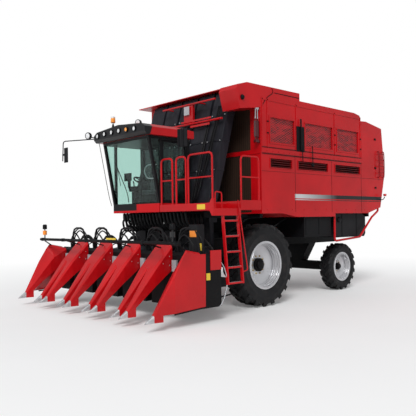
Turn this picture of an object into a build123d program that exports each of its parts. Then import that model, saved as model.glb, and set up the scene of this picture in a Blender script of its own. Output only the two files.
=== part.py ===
from build123d import *
import os
from math import atan2, cos, degrees, pi, radians, sin, tan

# Self-propelled five-row cotton picker. Millimetres, +X forward, +Y to the machine's left, +Z up.
# The origin is on the ground under the middle of the overall length, on the centre plane.

# Overall places along the machine
point_tip_x = 4475
tail_x = -4475
front_axle_x = 726
wheel_base = 3660
ground_clearance = 167
rear_axle_x = front_axle_x - wheel_base

# Fits shared by everything
running_gap = 0.3
hinge_gap = 6.0
sheet = 4.0

# Wheels: one row per axle: outside radius, section width, rim radius, rim width, lug height, lugs a side
front_tyre = dict(radius=920, width=530, seat=510, rim_width=452, lug=42, lugs=20, dish=262, hub=150)
rear_tyre = dict(radius=631, width=360, seat=365, rim_width=300, lug=34, lugs=18, dish=196, hub=95)
front_track = 3450
rear_track = 2740
flange_height = 26
rim_wall = 12
hub_depth = 150
seat_gap = 0.05

# Chassis
rail_y = 480
rail_width = 140
rail_bottom = 1250
rail_top = 1640
rail_front_x = 1560
rail_rear_x = -4050
axle_radius = 150
axle_drop_box = 210
kingpin_y = 1090
kingpin_radius = 42
knuckle_height = 360
rear_beam_height = 230
rear_beam_depth = 240

# Body: closed lower body, tipping basket above it, tall housing at the rear
body_half = 1950
body_front_x = 837
body_bottom = 2068
body_belly = 1985
belly_front_x = -414
belly_rear_x = -2009
body_rear_rise_x = -3571
tail_bottom = 2230
wall = 40
basket_floor_z = 3400
rail_cap_top = 3530
basket_rear_x = -3270
basket_top = 4745
basket_front_top = 4915
front_top_step_x = -580
front_top_nose_x = 1264
housing_top = 4576
housing_tail_top = 4455
tail_bulge_z = 3070
lid_chamfer = 160
lid_thickness = 60
mesh_wall = 6

# Windows in the basket's sides: front edge and rear edge along x
window_bottom = 3680
window_top = 4240
cheek_inner = 1430
cheek = [(body_front_x, 4421), (1497, 4321), (1612, 4732), (1560, 4830), (front_top_nose_x, basket_front_top)]
cylinder_x = [875, 945]
windows_x = [(520, -350), (-780, -1910), (-2130, -3120)]
vent_bottom = 3110
vent_top = 3310
vents_x = [(520, -250), (-490, -1700), (-2020, -3190)]

# Air ducts that carry the cotton: section, spacing and the line of the front face (x, z)
duct_count = 5
duct_width = 500
duct_depth = 235
duct_wall = 6
duct_spacing = 572
duct_sleeve_bottom = 1890
duct_line = [(1925, duct_sleeve_bottom), (1925, 2330), (1690, 3040), (1330, 4300), (1235, 4640)]
duct_top = 4890
duct_mouth_bottom = 4560

# Operator's platform and cab
cab_half = 850
cab_front_x = 2855
cab_rear_x = 2000
cab_floor = 2126
cab_sill = 2310
cab_roof_z = 3735
screen_top_x = 3125
roof_front_x = 3295
roof_rear_x = 1940
roof_half = 960
roof_top = 3985
roof_crown = 4030
roof_rear_top = 3900
pillar = 60
door_front_x = 2770
quarter_rear_x = 2820
door_depth = 45
door_hinge_y = 862
door_pin = 6
door_hinges_z = [2600, 3400]
glass = 8
deck_outer = 2480
deck_top = 2272
deck_bottom = 2126
deck_rear_x = 2080
deck_plate = 12
step_top = 2165
step_bottom = 2024
step_front_x = 2823
step_inner = 2080
rear_deck_front_x = 2200
rear_deck_rear_x = 1468
rear_deck_top = 2332
rear_deck_bottom = 2133
rail_pipe = 19
rail_height = 950

# Ladder: outer step of the deck down to the first rung
ladder_front_x = 2560
ladder_rear_x = 2140
ladder_top_y = 2428
ladder_foot_y = 2555
ladder_foot_z = 690
rung_pitch = 302
rung_count = 5

# Picking head
row_count = 5
row_spacing = 1016
head_half = 2572
hood_half = 252
hood_rear_x = 3310
hood_rear_top = 1470
kink_x = 3705
kink_z = 1055
point_base_x = 4300
point_base_z = 300
tip_offset = 129
arm_half = 46
end_tip_inset = 104
cabinet_rear_x = 2720
cabinet_front_x = 3290
cabinet_bottom = 300
cabinet_top = 1330
throat_half = 95
beam_x = 2560
beam_z = 730
beam_size = 180
foot_x = 4128
point_foot_z = 175
bar_x = 3800
bar_z = 1530
bar_half = 2600
bar_radius = 32
arm_y = 640
arm_half_width = 60
arm_pivot_x = 1370
arm_pivot_z = 990
head_pivot_x = 2400
arm_pin = 32
joint_side_gap = 6
drum_radius = 150
drum_bottom = 380
drum_top = 1100
collar_depth = 120
collar_width = 400
collar_top = 1930
collar_bottom = 1400

# Carriers between chassis, cab and deck
cross_beam_front = 2150
cross_beam_bottom = 1990
side_rail_y = 1450
side_rail_width = 70
outriggers_x = [727, -700, -2080, -3760]
outrigger_half = 50
hitch_x = -4120
hitch_z = 1340
hitch_thickness = 40
hitch_radius = 16


def block(x0, x1, y0, y1, z0, z1):
    """A box given by its faces."""
    return Pos((x0 + x1) / 2, (y0 + y1) / 2, (z0 + z1) / 2) * Box(abs(x1 - x0), abs(y1 - y0), abs(z1 - z0))


def side_plate(outline, y0, y1):
    """A plate with its outline in the x-z plane, from y0 to y1."""
    face = make_face(Polyline([(x, y0, z) for x, z in outline], close=True))
    return extrude(face, amount=y1 - y0, dir=(0, 1, 0)) if y1 > y0 else extrude(face, amount=y0 - y1, dir=(0, -1, 0))


def floor_plate(outline, z0, z1):
    """A plate with its outline in the x-y plane, from z0 to z1."""
    face = make_face(Polyline([(x, y, z0) for x, y in outline], close=True))
    return extrude(face, amount=z1 - z0, dir=(0, 0, 1))


def cross_plate(outline, x0, x1):
    """A plate with its outline in the y-z plane, from x0 to x1."""
    face = make_face(Polyline([(x0, y, z) for y, z in outline], close=True))
    return extrude(face, amount=abs(x1 - x0), dir=(1 if x1 > x0 else -1, 0, 0))


def rod(start, end, radius):
    """A round bar between two points."""
    line = Line(start, end)
    return extrude(Plane(origin=start, z_dir=line % 0) * Circle(radius), amount=line.length)


def bar(start, end, radius):
    """A twelve-sided bar between two points, for trim that carries no pin."""
    line = Line(start, end)
    return extrude(Plane(origin=start, z_dir=line % 0) * RegularPolygon(radius, 12), amount=line.length)


def pipe(points, radius, bend):
    """An eight-sided pipe, each corner rounded off by three points on its bend."""
    marks = [Vector(*point) for point in points]
    path = [marks[0]]
    for before, corner, after in zip(marks, marks[1:], marks[2:]):
        into = (corner - before).normalized()
        out = (after - corner).normalized()
        turn = radians(into.get_angle(out))
        cut = bend * tan(turn / 2)
        inward = (out - into).normalized()
        path += [corner - into * cut, corner + inward * bend * (1 / cos(turn / 2) - 1), corner + out * cut]
    path.append(marks[-1])
    outline = Plane(origin=path[0], z_dir=path[1] - path[0]) * RegularPolygon(radius, 8)
    return sweep(outline, path=Polyline(*path), transition=Transition.RIGHT)


def solid_of(faces):
    """A solid closed by flat faces, each given by its corners."""
    return Solid(Shell([make_face(Polyline(corners, close=True)).face() for corners in faces]))


def skin(first, second):
    """The solid between two outlines with as many corners; every side is two flat triangles."""
    faces = [first, second]
    count = len(first)
    for i in range(count):
        a, b, c, d = first[i], first[(i + 1) % count], second[(i + 1) % count], second[i]
        faces += [[a, b, c], [a, c, d]]
    return solid_of(faces)


def other_side(shape):
    """The same piece on the machine's right."""
    return mirror(shape, about=Plane.XZ)


def save(node, shape):
    export_step(shape, "parts/" + node + ".step")


def on_wheel(r, y, angle):
    """A point at a radius, a place across the wheel and an angle round its axis."""
    return (r * cos(radians(angle)), y, r * sin(radians(angle)))


def ring(profile, sides):
    """A closed ring of flat facets about the wheel's own axis; the profile is radius against width."""
    step = 360 / sides
    faces = []
    for i in range(sides):
        for (r0, y0), (r1, y1) in zip(profile, profile[1:] + profile[:1]):
            faces.append([on_wheel(r0, y0, i * step), on_wheel(r1, y1, i * step),
                          on_wheel(r1, y1, (i + 1) * step), on_wheel(r0, y0, (i + 1) * step)])
    return solid_of(faces)


def tyre(size):
    """A lugged tyre about the y axis, its outside towards +y."""
    half = size["width"] / 2
    bead = size["rim_width"] / 2 - rim_wall
    tread = size["radius"] - size["lug"]
    shoulder = tread - 45
    seat = size["seat"]
    bulge = seat + 0.52 * (tread - seat)
    side = [(seat, -bead), (seat + flange_height, -bead), (bulge, -half), (shoulder, -half * 0.93),
            (tread, -half * 0.7)]
    shape = ring(side + [(r, -y) for r, y in reversed(side)], 2 * size["lugs"])
    pitch = 360 / size["lugs"]
    lugs = []
    for sign in (1, -1):
        for i in range(size["lugs"]):
            middle = -90 + (i + (0.5 if sign > 0 else 0)) * pitch
            stations = []
            for y, low, top, width, lead in ((-0.04, 30, 0, 0.15, 0), (0.72, 30, 0, 0.2, 0.62), (0.96, 70, 34, 0.2, 0.8)):
                at = middle + lead * pitch
                r0, r1, w = tread - low, size["radius"] - top, width * pitch
                stations.append([on_wheel(r0, sign * y * half, at - w), on_wheel(r1, sign * y * half, at - w),
                                 on_wheel(r1, sign * y * half, at + w), on_wheel(r0, sign * y * half, at + w)])
            lugs.append(skin(stations[0], stations[1]))
            lugs.append(skin(stations[1], stations[2]))
    return shape + lugs


def rim(size):
    """A deep-dished rim about the y axis; the dish is measured in from the outer flange."""
    half = size["rim_width"] / 2
    seat = size["seat"]
    disc = half - size["dish"]
    inner = seat - rim_wall
    well = seat - 52
    sides = 2 * size["lugs"]
    hub = (size["hub"] + seat_gap) / cos(pi / sides)
    outline = [(seat, half - rim_wall), (seat + flange_height, half - rim_wall), (seat + flange_height, half),
               (inner, half), (well, half - 95), (well, disc + 70), (hub + 90, disc + 14), (hub, disc + 14),
               (hub, disc), (hub + 90, disc), (well, disc + 45), (well, -half + 60), (inner, -half),
               (seat + flange_height, -half), (seat + flange_height, -half + rim_wall), (seat, -half + rim_wall)]
    return ring(outline, sides)


def hub(size):
    """The hub that fills the dish's centre and carries the rim."""
    half = size["rim_width"] / 2
    disc = half - size["dish"]
    body = Rot(-90, 0, 0) * Cylinder(size["hub"], hub_depth, align=(Align.CENTER, Align.CENTER, Align.MIN))
    body = Pos(0, disc - hub_depth + 70, 0) * body
    cap = Rot(-90, 0, 0) * Cylinder(size["hub"] * 0.72, 34, align=(Align.CENTER, Align.CENTER, Align.MIN))
    return body + Pos(0, disc + 70, 0) * cap


def wheel_set(name, size, x, track):
    """Tyre, rim and hub for both sides of one axle."""
    place = Pos(x, track / 2, size["radius"])
    for piece, shape in (("tyre", tyre(size)), ("rim", rim(size)), ("hub", hub(size))):
        left = place * shape
        save(name + "_" + piece + "_left", left)
        save(name + "_" + piece + "_right", other_side(left))


def hub_inner_face(size, track):
    """Distance from the centre plane to the inner face of the hub."""
    return track / 2 + size["rim_width"] / 2 - size["dish"] - hub_depth + 70


def front_axle():
    """Drive axle: beam, centre gear housing and the drop boxes that reach the rails."""
    end = hub_inner_face(front_tyre, front_track) - running_gap
    z = front_tyre["radius"]
    beam = rod((front_axle_x, -end, z), (front_axle_x, end, z), axle_radius * 0.8)
    gear = rod((front_axle_x, -axle_radius * 1.7, z), (front_axle_x, axle_radius * 1.7, z), axle_radius * 1.6)
    shape = beam + gear
    for y in (-rail_y, rail_y):
        shape += block(front_axle_x - axle_drop_box, front_axle_x + axle_drop_box, y - rail_width / 2,
                       y + rail_width / 2, z, rail_bottom)
    for y in (-end, end):
        inner = y - 60 if y > 0 else y + 60
        shape += rod((front_axle_x, inner, z), (front_axle_x, y, z), front_tyre["hub"] * 1.2)
    return shape


def rear_axle():
    """Steered axle beam hung from the rails by a centre bracket, with an eye for each kingpin."""
    z = rear_tyre["radius"]
    half = rear_beam_depth / 2
    low, high = z - rear_beam_height / 2, z + rear_beam_height / 2
    beam = block(rear_axle_x - half, rear_axle_x + half, -kingpin_y + 130, kingpin_y - 130, low, high)
    for y in (-kingpin_y, kingpin_y):
        eye = Pos(rear_axle_x, y, z) * Cylinder(70, rear_beam_height - 50)
        neck = block(rear_axle_x - 60, rear_axle_x + 60, min(y, y * 0.85), max(y, y * 0.85),
                     z - rear_beam_height / 2 + 25, z + rear_beam_height / 2 - 25)
        beam += eye + neck
        beam -= Pos(rear_axle_x, y, z) * Cylinder(kingpin_radius + running_gap, rear_beam_height)
    bolster = cross_plate([(-rail_y - 70, rail_bottom), (-260, high), (260, high), (rail_y + 70, rail_bottom)],
                          rear_axle_x - 150, rear_axle_x + 150)
    return beam + bolster


def knuckle():
    """Left steering knuckle: kingpin, two arms above and below the beam's eye, and the wheel's spindle."""
    z = rear_tyre["radius"]
    gap = (rear_beam_height - 50) / 2 + running_gap
    face = hub_inner_face(rear_tyre, rear_track) - running_gap
    pin = Pos(rear_axle_x, kingpin_y, z) * Cylinder(kingpin_radius, 2 * gap + 2)
    shape = pin
    for low, high in ((z - gap - 45, z - gap), (z + gap, z + gap + 45)):
        shape += Pos(rear_axle_x, kingpin_y, (low + high) / 2) * Cylinder(62, 45)
        shape += block(rear_axle_x - 50, rear_axle_x + 50, kingpin_y, face - 20, low, high)
    shape += block(rear_axle_x - 60, rear_axle_x + 60, face - 42, face - 12, z - gap - 45, z + gap + 45)
    shape += rod((rear_axle_x, face - 12, z), (rear_axle_x, face, z), rear_tyre["hub"] * 0.9)
    return shape


def body_space():
    """Everything inside the body's side outline, used to trim what seats against it from below."""
    return side_plate(body_side_outline(), -body_half, body_half)


def main_frame():
    """Box rails, and against them the cross members, outriggers, cab carriers, arm brackets and hitch tongue."""
    half = rail_width / 2
    rails = [block(rail_rear_x, rail_front_x, y - half, y + half, rail_bottom, rail_top) for y in (-rail_y, rail_y)]
    crosses = [block(x - 60, x + 60, -rail_y + half, rail_y - half, rail_bottom + 60, rail_top - 60)
               for x in (rail_front_x - 120, -900, -2000, rail_rear_x + 60)]
    reach = body_half - 120
    outriggers = []
    for x in outriggers_x:
        top = body_bottom + 200
        outline = [(-reach, top), (reach, top), (reach, body_bottom - 90), (1400, body_bottom - 110),
                   (rail_y + half, rail_top - 120), (rail_y + half, rail_top), (-rail_y - half, rail_top),
                   (-rail_y - half, rail_top - 120), (-1400, body_bottom - 110), (-reach, body_bottom - 90)]
        plate = cross_plate(outline, x - outrigger_half, x + outrigger_half) - body_space()
        outriggers += plate.solids()
    beams = []
    for y in (-side_rail_y, side_rail_y):
        edge = side_rail_width / 2
        beams.append(block(outriggers_x[0] + outrigger_half, duct_line[0][0], y - edge, y + edge, cross_beam_bottom,
                           body_bottom))
        beams.append(block(duct_line[0][0] - 60, duct_line[0][0], y - edge, y + edge, body_bottom, cab_floor))
    end = side_rail_y + side_rail_width / 2
    beams.append(block(duct_line[0][0], cross_beam_front, -end, end, cross_beam_bottom, cab_floor))
    for y in (-rail_y, rail_y):
        beams.append(block(cross_beam_front, cab_front_x - 250, y - 40, y + 40, cab_floor - 110, cab_floor))
    inner = arm_half_width + joint_side_gap
    low = arm_pivot_z - 80
    for y in (-arm_y, arm_y):
        bracket = rod((arm_pivot_x, y - inner - 35, arm_pivot_z), (arm_pivot_x, y + inner + 35, arm_pivot_z), arm_pin)
        for near, far in ((-inner - 35, -inner), (inner, inner + 35)):
            bracket += block(arm_pivot_x - 110, arm_pivot_x + 70, y + near, y + far, low, rail_bottom + 30)
        bracket += block(arm_pivot_x - 110, arm_pivot_x + 70, min(y - 200, y + 101) if y > 0 else y - 101,
                         y + 101 if y > 0 else y + 200, rail_bottom, rail_bottom + 60)
        bracket -= rails[0] + rails[1]
        beams += bracket.solids()
    tongue = block(hitch_x - 60, rail_rear_x, -70, 70, hitch_z, hitch_z + hitch_thickness)
    tongue -= Pos(hitch_x, 0, hitch_z + hitch_thickness / 2) * Cylinder(hitch_radius, hitch_thickness + 2)
    return Compound(children=rails + crosses + outriggers + beams + tongue.solids())


def body_side_outline():
    """Outline of one lower side wall, from the front corner round by the belly to the tail."""
    return [(body_front_x, basket_floor_z), (body_front_x, body_bottom), (105, body_bottom),
            (belly_front_x, body_belly), (belly_rear_x, body_belly), (belly_rear_x, body_bottom),
            (body_rear_rise_x, body_bottom), (tail_x + 240, tail_bottom), (tail_x + 14, tail_bulge_z),
            (tail_x + 24, basket_floor_z + 170), (tail_x + 24, basket_floor_z + 180),
            (basket_rear_x - 15, basket_floor_z + 180), (basket_rear_x - 15, basket_floor_z)]


def side_wall():
    """Left lower side wall with its row of air vents cut through."""
    wall_plate = side_plate(body_side_outline(), body_half - wall, body_half)
    for front, rear in vents_x:
        wall_plate -= block(rear, front, body_half - 2 * wall, body_half + 1, vent_bottom, vent_top)
    return wall_plate


def vent_grilles():
    """Slats that close the vents, three to a vent, carried by the side wall."""
    shape = Part()
    for front, rear in vents_x:
        for i in range(4):
            z = vent_bottom + (i + 0.5) * (vent_top - vent_bottom) / 4
            shape += block(rear, front, body_half - wall + 8, body_half - 12, z - 5, z + 5)
    return shape


def body_inner():
    """Front wall, under-tray and the closing floor under the basket, between the two side walls."""
    inner = body_half - wall
    rear = basket_rear_x - 15
    shape = block(body_front_x - wall, body_front_x, -inner, inner, body_bottom, basket_floor_z - 10)
    shape += block(rear, body_front_x, -inner, inner, basket_floor_z - 50, basket_floor_z - 10)
    low = [(body_front_x, body_bottom), (105, body_bottom), (belly_front_x, body_belly),
           (belly_rear_x, body_belly), (belly_rear_x, body_bottom), (body_rear_rise_x, body_bottom),
           (tail_x + 240, tail_bottom)]
    high = [(x + (12 if x == belly_rear_x else 0), z + 12) for x, z in reversed(low)]
    tray = side_plate(low + high, -inner, inner)
    return shape + tray - rear_housing()


def rear_housing():
    """Tall housing behind the basket: two cheeks, front bulkhead, sloping roof and the bulged tail wall."""
    z0 = basket_floor_z + 180
    front = basket_rear_x - 15
    outer = [(front, z0), (tail_x + 24, z0), (tail_x + 134, housing_tail_top), (front - 240, housing_top),
             (front, housing_top - 14)]
    cheek = side_plate(outer, body_half - wall, body_half)
    shape = cheek + other_side(cheek)
    inner = body_half - wall
    roof = side_plate([(front, housing_top - 14), (front - 240, housing_top), (tail_x + 134, housing_tail_top),
                       (tail_x + 134 + 8, housing_tail_top - wall), (front - 240, housing_top - wall),
                       (front, housing_top - 14 - wall)], -inner, inner)
    bulkhead = block(front - wall, front, -inner, inner, basket_floor_z - 60, housing_top - 14 - wall / 2)
    tail = side_plate([(tail_x + 240, tail_bottom), (tail_x + 14, tail_bulge_z), (tail_x + 24, z0),
                       (tail_x + 134, housing_tail_top), (tail_x + 134 + 8, housing_tail_top - wall),
                       (tail_x + 24 + wall, z0), (tail_x + 14 + wall, tail_bulge_z),
                       (tail_x + 240 + wall, tail_bottom)], -inner, inner)
    return shape + roof + bulkhead + tail


def engine():
    """The engine as one plain block on the rails, inside the rear of the body."""
    return block(body_rear_rise_x + 11, body_rear_rise_x + 1211, -520, 520, body_bottom + 12, 3150)


def basket_side():
    """Left wall of the tipping basket: corner posts and rails round the mesh windows."""
    low = basket_floor_z + running_gap
    outline = [(body_front_x, low), (basket_rear_x, low), (basket_rear_x, basket_top - lid_thickness - lid_chamfer),
               (basket_rear_x + 50, basket_top - lid_thickness), (body_front_x, basket_top - lid_thickness)]
    wall_plate = side_plate(outline, body_half - wall, body_half)
    for front, rear in windows_x:
        wall_plate -= block(rear, front, body_half - 2 * wall, body_half + 1, window_bottom, window_top)
    return wall_plate


def basket_ledge():
    """Hinge rail and ledge along the foot of the basket's side, flush over the lower wall."""
    low = basket_floor_z + 30
    return side_plate([(body_front_x, low), (basket_rear_x, low), (basket_rear_x, rail_cap_top),
                       (body_front_x, rail_cap_top)], body_half, body_half + 14)


def duct_mouths(gap):
    """The spaces the ducts' mouths need in the basket's front, grown by a gap."""
    shape = Part()
    for y in duct_centres():
        half = duct_width / 2 + gap
        shape += block(body_front_x - 2 * wall, body_front_x + 20, y - half, y + half, duct_mouth_bottom - gap,
                       duct_top + gap)
    return shape


def basket_walls():
    """Both side walls of the basket with their ledges, the front and rear frames and the floor between."""
    left = basket_side() + basket_ledge()
    inner = body_half - wall
    low = basket_floor_z + running_gap
    high = basket_top - lid_thickness
    sill = duct_mouth_bottom + duct_wall
    front_inner = body_front_x - wall
    columns = block(front_inner, body_front_x, -inner, inner, sill, high) - duct_mouths(-duct_wall)
    front = block(front_inner, body_front_x, -inner, inner, low, sill)
    rear = block(basket_rear_x, basket_rear_x + wall, -inner, inner, low, high - lid_chamfer)
    floor = block(basket_rear_x + wall, front_inner, -inner, inner, low, low + 12)
    return Compound(children=left.solids() + other_side(left).solids() + columns.solids() + [front, rear, floor])


def mesh_panels():
    """Perforated sheets that fill the basket's windows, set back from the outside face."""
    shape = Part()
    for front, rear in windows_x:
        sheet_panel = block(rear, front, body_half - wall + 10, body_half - wall + 10 + mesh_wall, window_bottom,
                            window_top)
        shape += sheet_panel + other_side(sheet_panel)
    return shape


def cheek_outline(inset):
    """Side outline of the left cheek; the inset copy is open at its back, where the basket's wall closes it."""
    back = body_front_x - 2 * inset
    (x0, z0), (x1, z1), (x2, z2), (x3, z3), (x4, z4) = cheek
    return [(back, z0 + inset), (x1 - inset, z1 + inset), (x2 - inset, z2), (x3 - inset, z3 - inset / 2),
            (x4, z4 - inset), (back, z4 - inset)]


def basket_nose():
    """Raised front roof of the basket, its overhang above the ducts and the rounded left cheek, as flat plates."""
    low = basket_top - lid_thickness
    top = basket_front_top
    inner = body_half - wall
    high = top + 11
    lintel = duct_top + duct_wall
    mouth_top = duct_top - duct_wall
    back_inner = front_top_step_x + 12
    front_inner = body_front_x - wall
    outline = [(front_top_step_x, low), (front_top_step_x, high), (front_top_nose_x, top),
               (front_top_nose_x, lintel), (body_front_x, lintel), (body_front_x, low)]
    shape = side_plate(outline, -body_half, body_half)
    shape -= side_plate([(back_inner, low - 1), (back_inner, duct_top - 6), (front_inner, duct_top - 6),
                         (front_inner, low - 1)], -inner, inner)
    shape -= duct_mouths(-duct_wall)
    plates = []
    for x0, x1, y0, y1, z0, z1 in ((body_front_x, front_top_nose_x, -body_half, body_half, low, high),
                                   (front_top_step_x, body_front_x, inner, body_half, low, high),
                                   (front_top_step_x, body_front_x, -body_half, -inner, low, high),
                                   (front_top_step_x, front_inner, -inner, inner, duct_top - 6, high),
                                   (front_top_step_x, back_inner, -inner, inner, low, duct_top - 6),
                                   (front_inner, body_front_x, -inner, inner, mouth_top, high),
                                   (front_inner, body_front_x, -inner, inner, low, mouth_top)):
        plates += (shape & block(x0, x1, y0, y1, z0, z1)).solids()
    cover = side_plate(cheek_outline(0), cheek_inner, body_half)
    cover -= side_plate(cheek_outline(14), cheek_inner + 14, body_half - 14)
    cover -= block(body_front_x - 100, body_front_x, -body_half, body_half, 4000, 5000)
    return Compound(children=plates + (cover - shape).solids())


def lid():
    """Roof lid behind the raised front: a pressed tray on a rim, sloped at its rear end."""
    low = basket_top - lid_thickness + running_gap
    front = front_top_step_x - hinge_gap
    rear = basket_rear_x + 50
    outline = [(front, low), (front, basket_top), (-2950, basket_top), (rear, low + 14), (rear, low)]
    shape = side_plate(outline, -body_half, body_half)
    inner = side_plate([(front - 50, low - 1), (front - 50, basket_top - 10), (-2900, basket_top - 10),
                        (-2960, low - 1)], -body_half + 60, body_half - 60)
    return shape - inner


def basket_cylinders():
    """Upright cylinder pair at each front corner of the basket, between two brackets."""
    shape = Part()
    x0, x1 = cylinder_x
    outer = body_half - 25
    for low, high in ((3640, 3700), (4370, 4430)):
        shape += block(body_front_x, x1 + 30, outer - 70, outer, low, high)
    shape += block(x0 - 22, x1 + 22, outer - 62, outer - 8, 3770, 4120)
    for x in cylinder_x:
        shape += rod((x, outer - 35, 3690), (x, outer - 35, 4380), 15)
    full = shape + other_side(shape)
    return full - side_plate(cheek_outline(0), cheek_inner, body_half)


def side_linkage():
    """Lock plate and rod on the basket's left side, between the first two windows."""
    front, rear = windows_x[0][1] - 70, windows_x[1][0] + 60
    plate = block(rear, front, body_half, body_half + 22, rail_cap_top + 8, 4130)
    post = bar(((front + rear) / 2, body_half + 40, 3560), ((front + rear) / 2, body_half + 40, 4310), 18)
    return plate + post


def duct_centres():
    return [(i - (duct_count - 1) / 2) * duct_spacing for i in range(duct_count)]


def duct_outline(inset):
    """Side outline of a duct: up its front face, over the top into the basket and down its back face."""
    front = [(x - inset, z) for x, z in duct_line]
    back = [(x - duct_depth + inset, z) for x, z in duct_line]
    top = duct_top - inset
    over = [(1150 - inset, top - 40), (1080, top)]
    mouth = [(body_front_x + hinge_gap, top), (body_front_x + hinge_gap, duct_mouth_bottom + inset)]
    return front + over + mouth + [(back[-1][0] - 20, duct_mouth_bottom + inset)] + back[-2::-1]


def duct(y):
    """One hollow duct of flat plates between two cheeks, open at its sleeve below and at its mouth behind."""
    half = duct_width / 2
    outer, inner = duct_outline(0), duct_outline(duct_wall)
    near, far = y - half + duct_wall, y + half - duct_wall
    plates = [side_plate(outer, y - half, near), side_plate(outer, far, y + half)]
    mouth = len(duct_line) + 2
    for i in range(len(outer) - 1):
        if i != mouth:
            plates.append(side_plate([outer[i], outer[i + 1], inner[i + 1], inner[i]], near, far))
    return plates


def ducts():
    return Compound(children=[plate for y in duct_centres() for plate in duct(y)])


def duct_face_x(z):
    """Where the ducts' front faces are at a height on their straight run."""
    (x0, z0), (x1, z1) = duct_line[2], duct_line[3]
    return x0 + (x1 - x0) * (z - z0) / (z1 - z0)


def duct_frame():
    """Rails and a box across the front of the ducts, on short brackets."""
    span = 2 * duct_spacing + duct_width / 2 - 20
    stand = duct_face_x(4195) + 110
    shape = bar((stand, -span, 4195), (stand, span, 4195), 26)
    upper = stand - 20
    shape += bar((upper, -700, 4665), (upper, 1150, 4665), 22)
    shape += block(upper - 60, upper, 80, 390, 4190, 4665)
    for y in duct_centres():
        shape += bar((stand, y, 4195), (stand - 160, y, 4195), 20)
    for y in (-duct_spacing, 0, duct_spacing):
        shape += bar((upper, y, 4665), (upper - 260, y, 4665), 16)
    return shape - side_plate(duct_outline(0), -span - 20, span + 20)


def deck():
    """Operator's deck left of the cab: front beam, floor plate, ladder step and the rear deck."""
    beam = block(cab_front_x - 40, cab_front_x, cab_half + 25, deck_outer - 100, deck_bottom, deck_top)
    gusset = cross_plate([(deck_outer - 100, deck_bottom), (deck_outer - 100, deck_top), (deck_outer - 50, deck_top + 80),
                          (deck_outer, deck_top + 90), (deck_outer, step_bottom), (deck_outer - 40, step_bottom)],
                         cab_front_x, cab_front_x - 40)
    floor = block(deck_rear_x, cab_front_x - 40, cab_half + 25, step_inner, deck_top - deck_plate, deck_top)
    rear_beam = block(deck_rear_x, deck_rear_x + 40, cab_half + 25, step_inner, deck_bottom, deck_top - deck_plate)
    step = block(deck_rear_x, cab_front_x - 40, step_inner, deck_outer, step_top - deck_plate, step_top)
    riser = block(deck_rear_x, cab_front_x - 40, step_inner - deck_plate, step_inner, step_top - deck_plate,
                  deck_top - deck_plate)
    fascia = block(deck_rear_x, cab_front_x - 40, deck_outer - 20, deck_outer, step_bottom, step_top - deck_plate)
    rear_floor = block(rear_deck_rear_x, deck_rear_x, 1500, deck_outer - 20, rear_deck_top - 30, rear_deck_top - 18)
    rear_face = block(rear_deck_rear_x, deck_rear_x, deck_outer - 20, deck_outer, rear_deck_bottom, rear_deck_top)
    rear_link = block(deck_rear_x - 40, deck_rear_x, 1500, deck_outer - 20, rear_deck_bottom, rear_deck_top - 30)
    end_face = block(rear_deck_rear_x, rear_deck_rear_x + 20, 1500, deck_outer - 20, rear_deck_bottom,
                     rear_deck_top - 30)
    return beam + gusset + floor + rear_beam + step + riser + fascia + rear_floor + rear_face + rear_link + end_face


def hoop(x0, y0, x1, y1, foot0, foot1, top):
    """A guard rail: two posts, a rounded top and a middle bar."""
    points = [(x0, y0, foot0), (x0, y0, top), (x1, y1, top), (x1, y1, foot1)]
    middle = (max(foot0, foot1) + top) / 2 + 20
    frame = pipe(points, rail_pipe, 80)
    return frame + bar((x0, y0, middle), (x1, y1, middle), rail_pipe * 0.8)


def handrails():
    """Guard rails of the deck and the grab hoop at the step, each foot cut to the plate it stands on."""
    x = cab_front_x - 20
    top = deck_top + rail_height
    shape = hoop(x, 910, x, 1270, deck_top, deck_top, top)
    shape += hoop(x, 1390, x, 1690, deck_top, deck_top, top)
    shape += hoop(x, 1760, x, deck_outer - 30, deck_top, deck_top, top + 20)
    shape += hoop(deck_rear_x - 20, deck_outer - 10, rear_deck_rear_x + 60, deck_outer - 10, rear_deck_top,
                  rear_deck_top, top)
    shape += pipe([(2776, deck_outer - 22, step_top), (2776, deck_outer - 22, 2490), (2600, deck_outer - 22, 2470),
                   (2600, deck_outer - 22, step_top)], 13, 40)
    return shape - deck()


def ladder():
    """Ladder under the step: two stringers, five rungs and a hand rail on the rear stringer."""
    hang = step_top - deck_plate
    lean = (ladder_foot_y - ladder_top_y) / (hang - ladder_foot_z)

    def at(z):
        return ladder_top_y + lean * (hang - z)

    shape = Part()
    for x in (ladder_front_x, ladder_rear_x):
        outline = [(at(hang) - 30, hang), (at(hang) + 30, hang), (at(ladder_foot_z) + 30, ladder_foot_z),
                   (at(ladder_foot_z) - 30, ladder_foot_z)]
        shape += cross_plate(outline, x - 15, x + 15)
    for i in range(rung_count):
        z = ladder_foot_z + 22 + i * rung_pitch
        shape += block(ladder_rear_x, ladder_front_x, at(z) - 28, at(z) + 28, z - 16, z + 16)
    rail = pipe([(2184, deck_outer + 13, 2328), (1985, at(950) + 18, 940), (ladder_rear_x - 5, at(930) + 10, 905)],
                13, 40)
    return shape + rail - deck()


def screen_x(z):
    """Where the raked front plane of the cab is at a height."""
    return cab_front_x + (screen_top_x - cab_front_x) * (z - cab_sill) / (cab_roof_z - cab_sill)


def door_outline(inset):
    low, high = cab_sill + 20 + inset, cab_roof_z - pillar - inset
    rear, front = cab_rear_x + pillar + inset, door_front_x - inset
    return [(rear, low), (front, low), (front, high), (rear, high)]


def quarter_outline():
    """The small window between the door and the raked front post."""
    low, high = cab_sill + 190, cab_roof_z - pillar
    return [(quarter_rear_x, low), (screen_x(low) - pillar, low), (screen_x(high) - pillar, high),
            (quarter_rear_x, high)]


def screen_outline(front, rear):
    """A slice parallel to the windscreen, between two depths behind the raked front plane."""
    low, high = cab_sill + 20, cab_roof_z - pillar
    return [(screen_x(low) - rear, low), (screen_x(low) - front, low), (screen_x(high) - front, high),
            (screen_x(high) - rear, high)]


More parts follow.
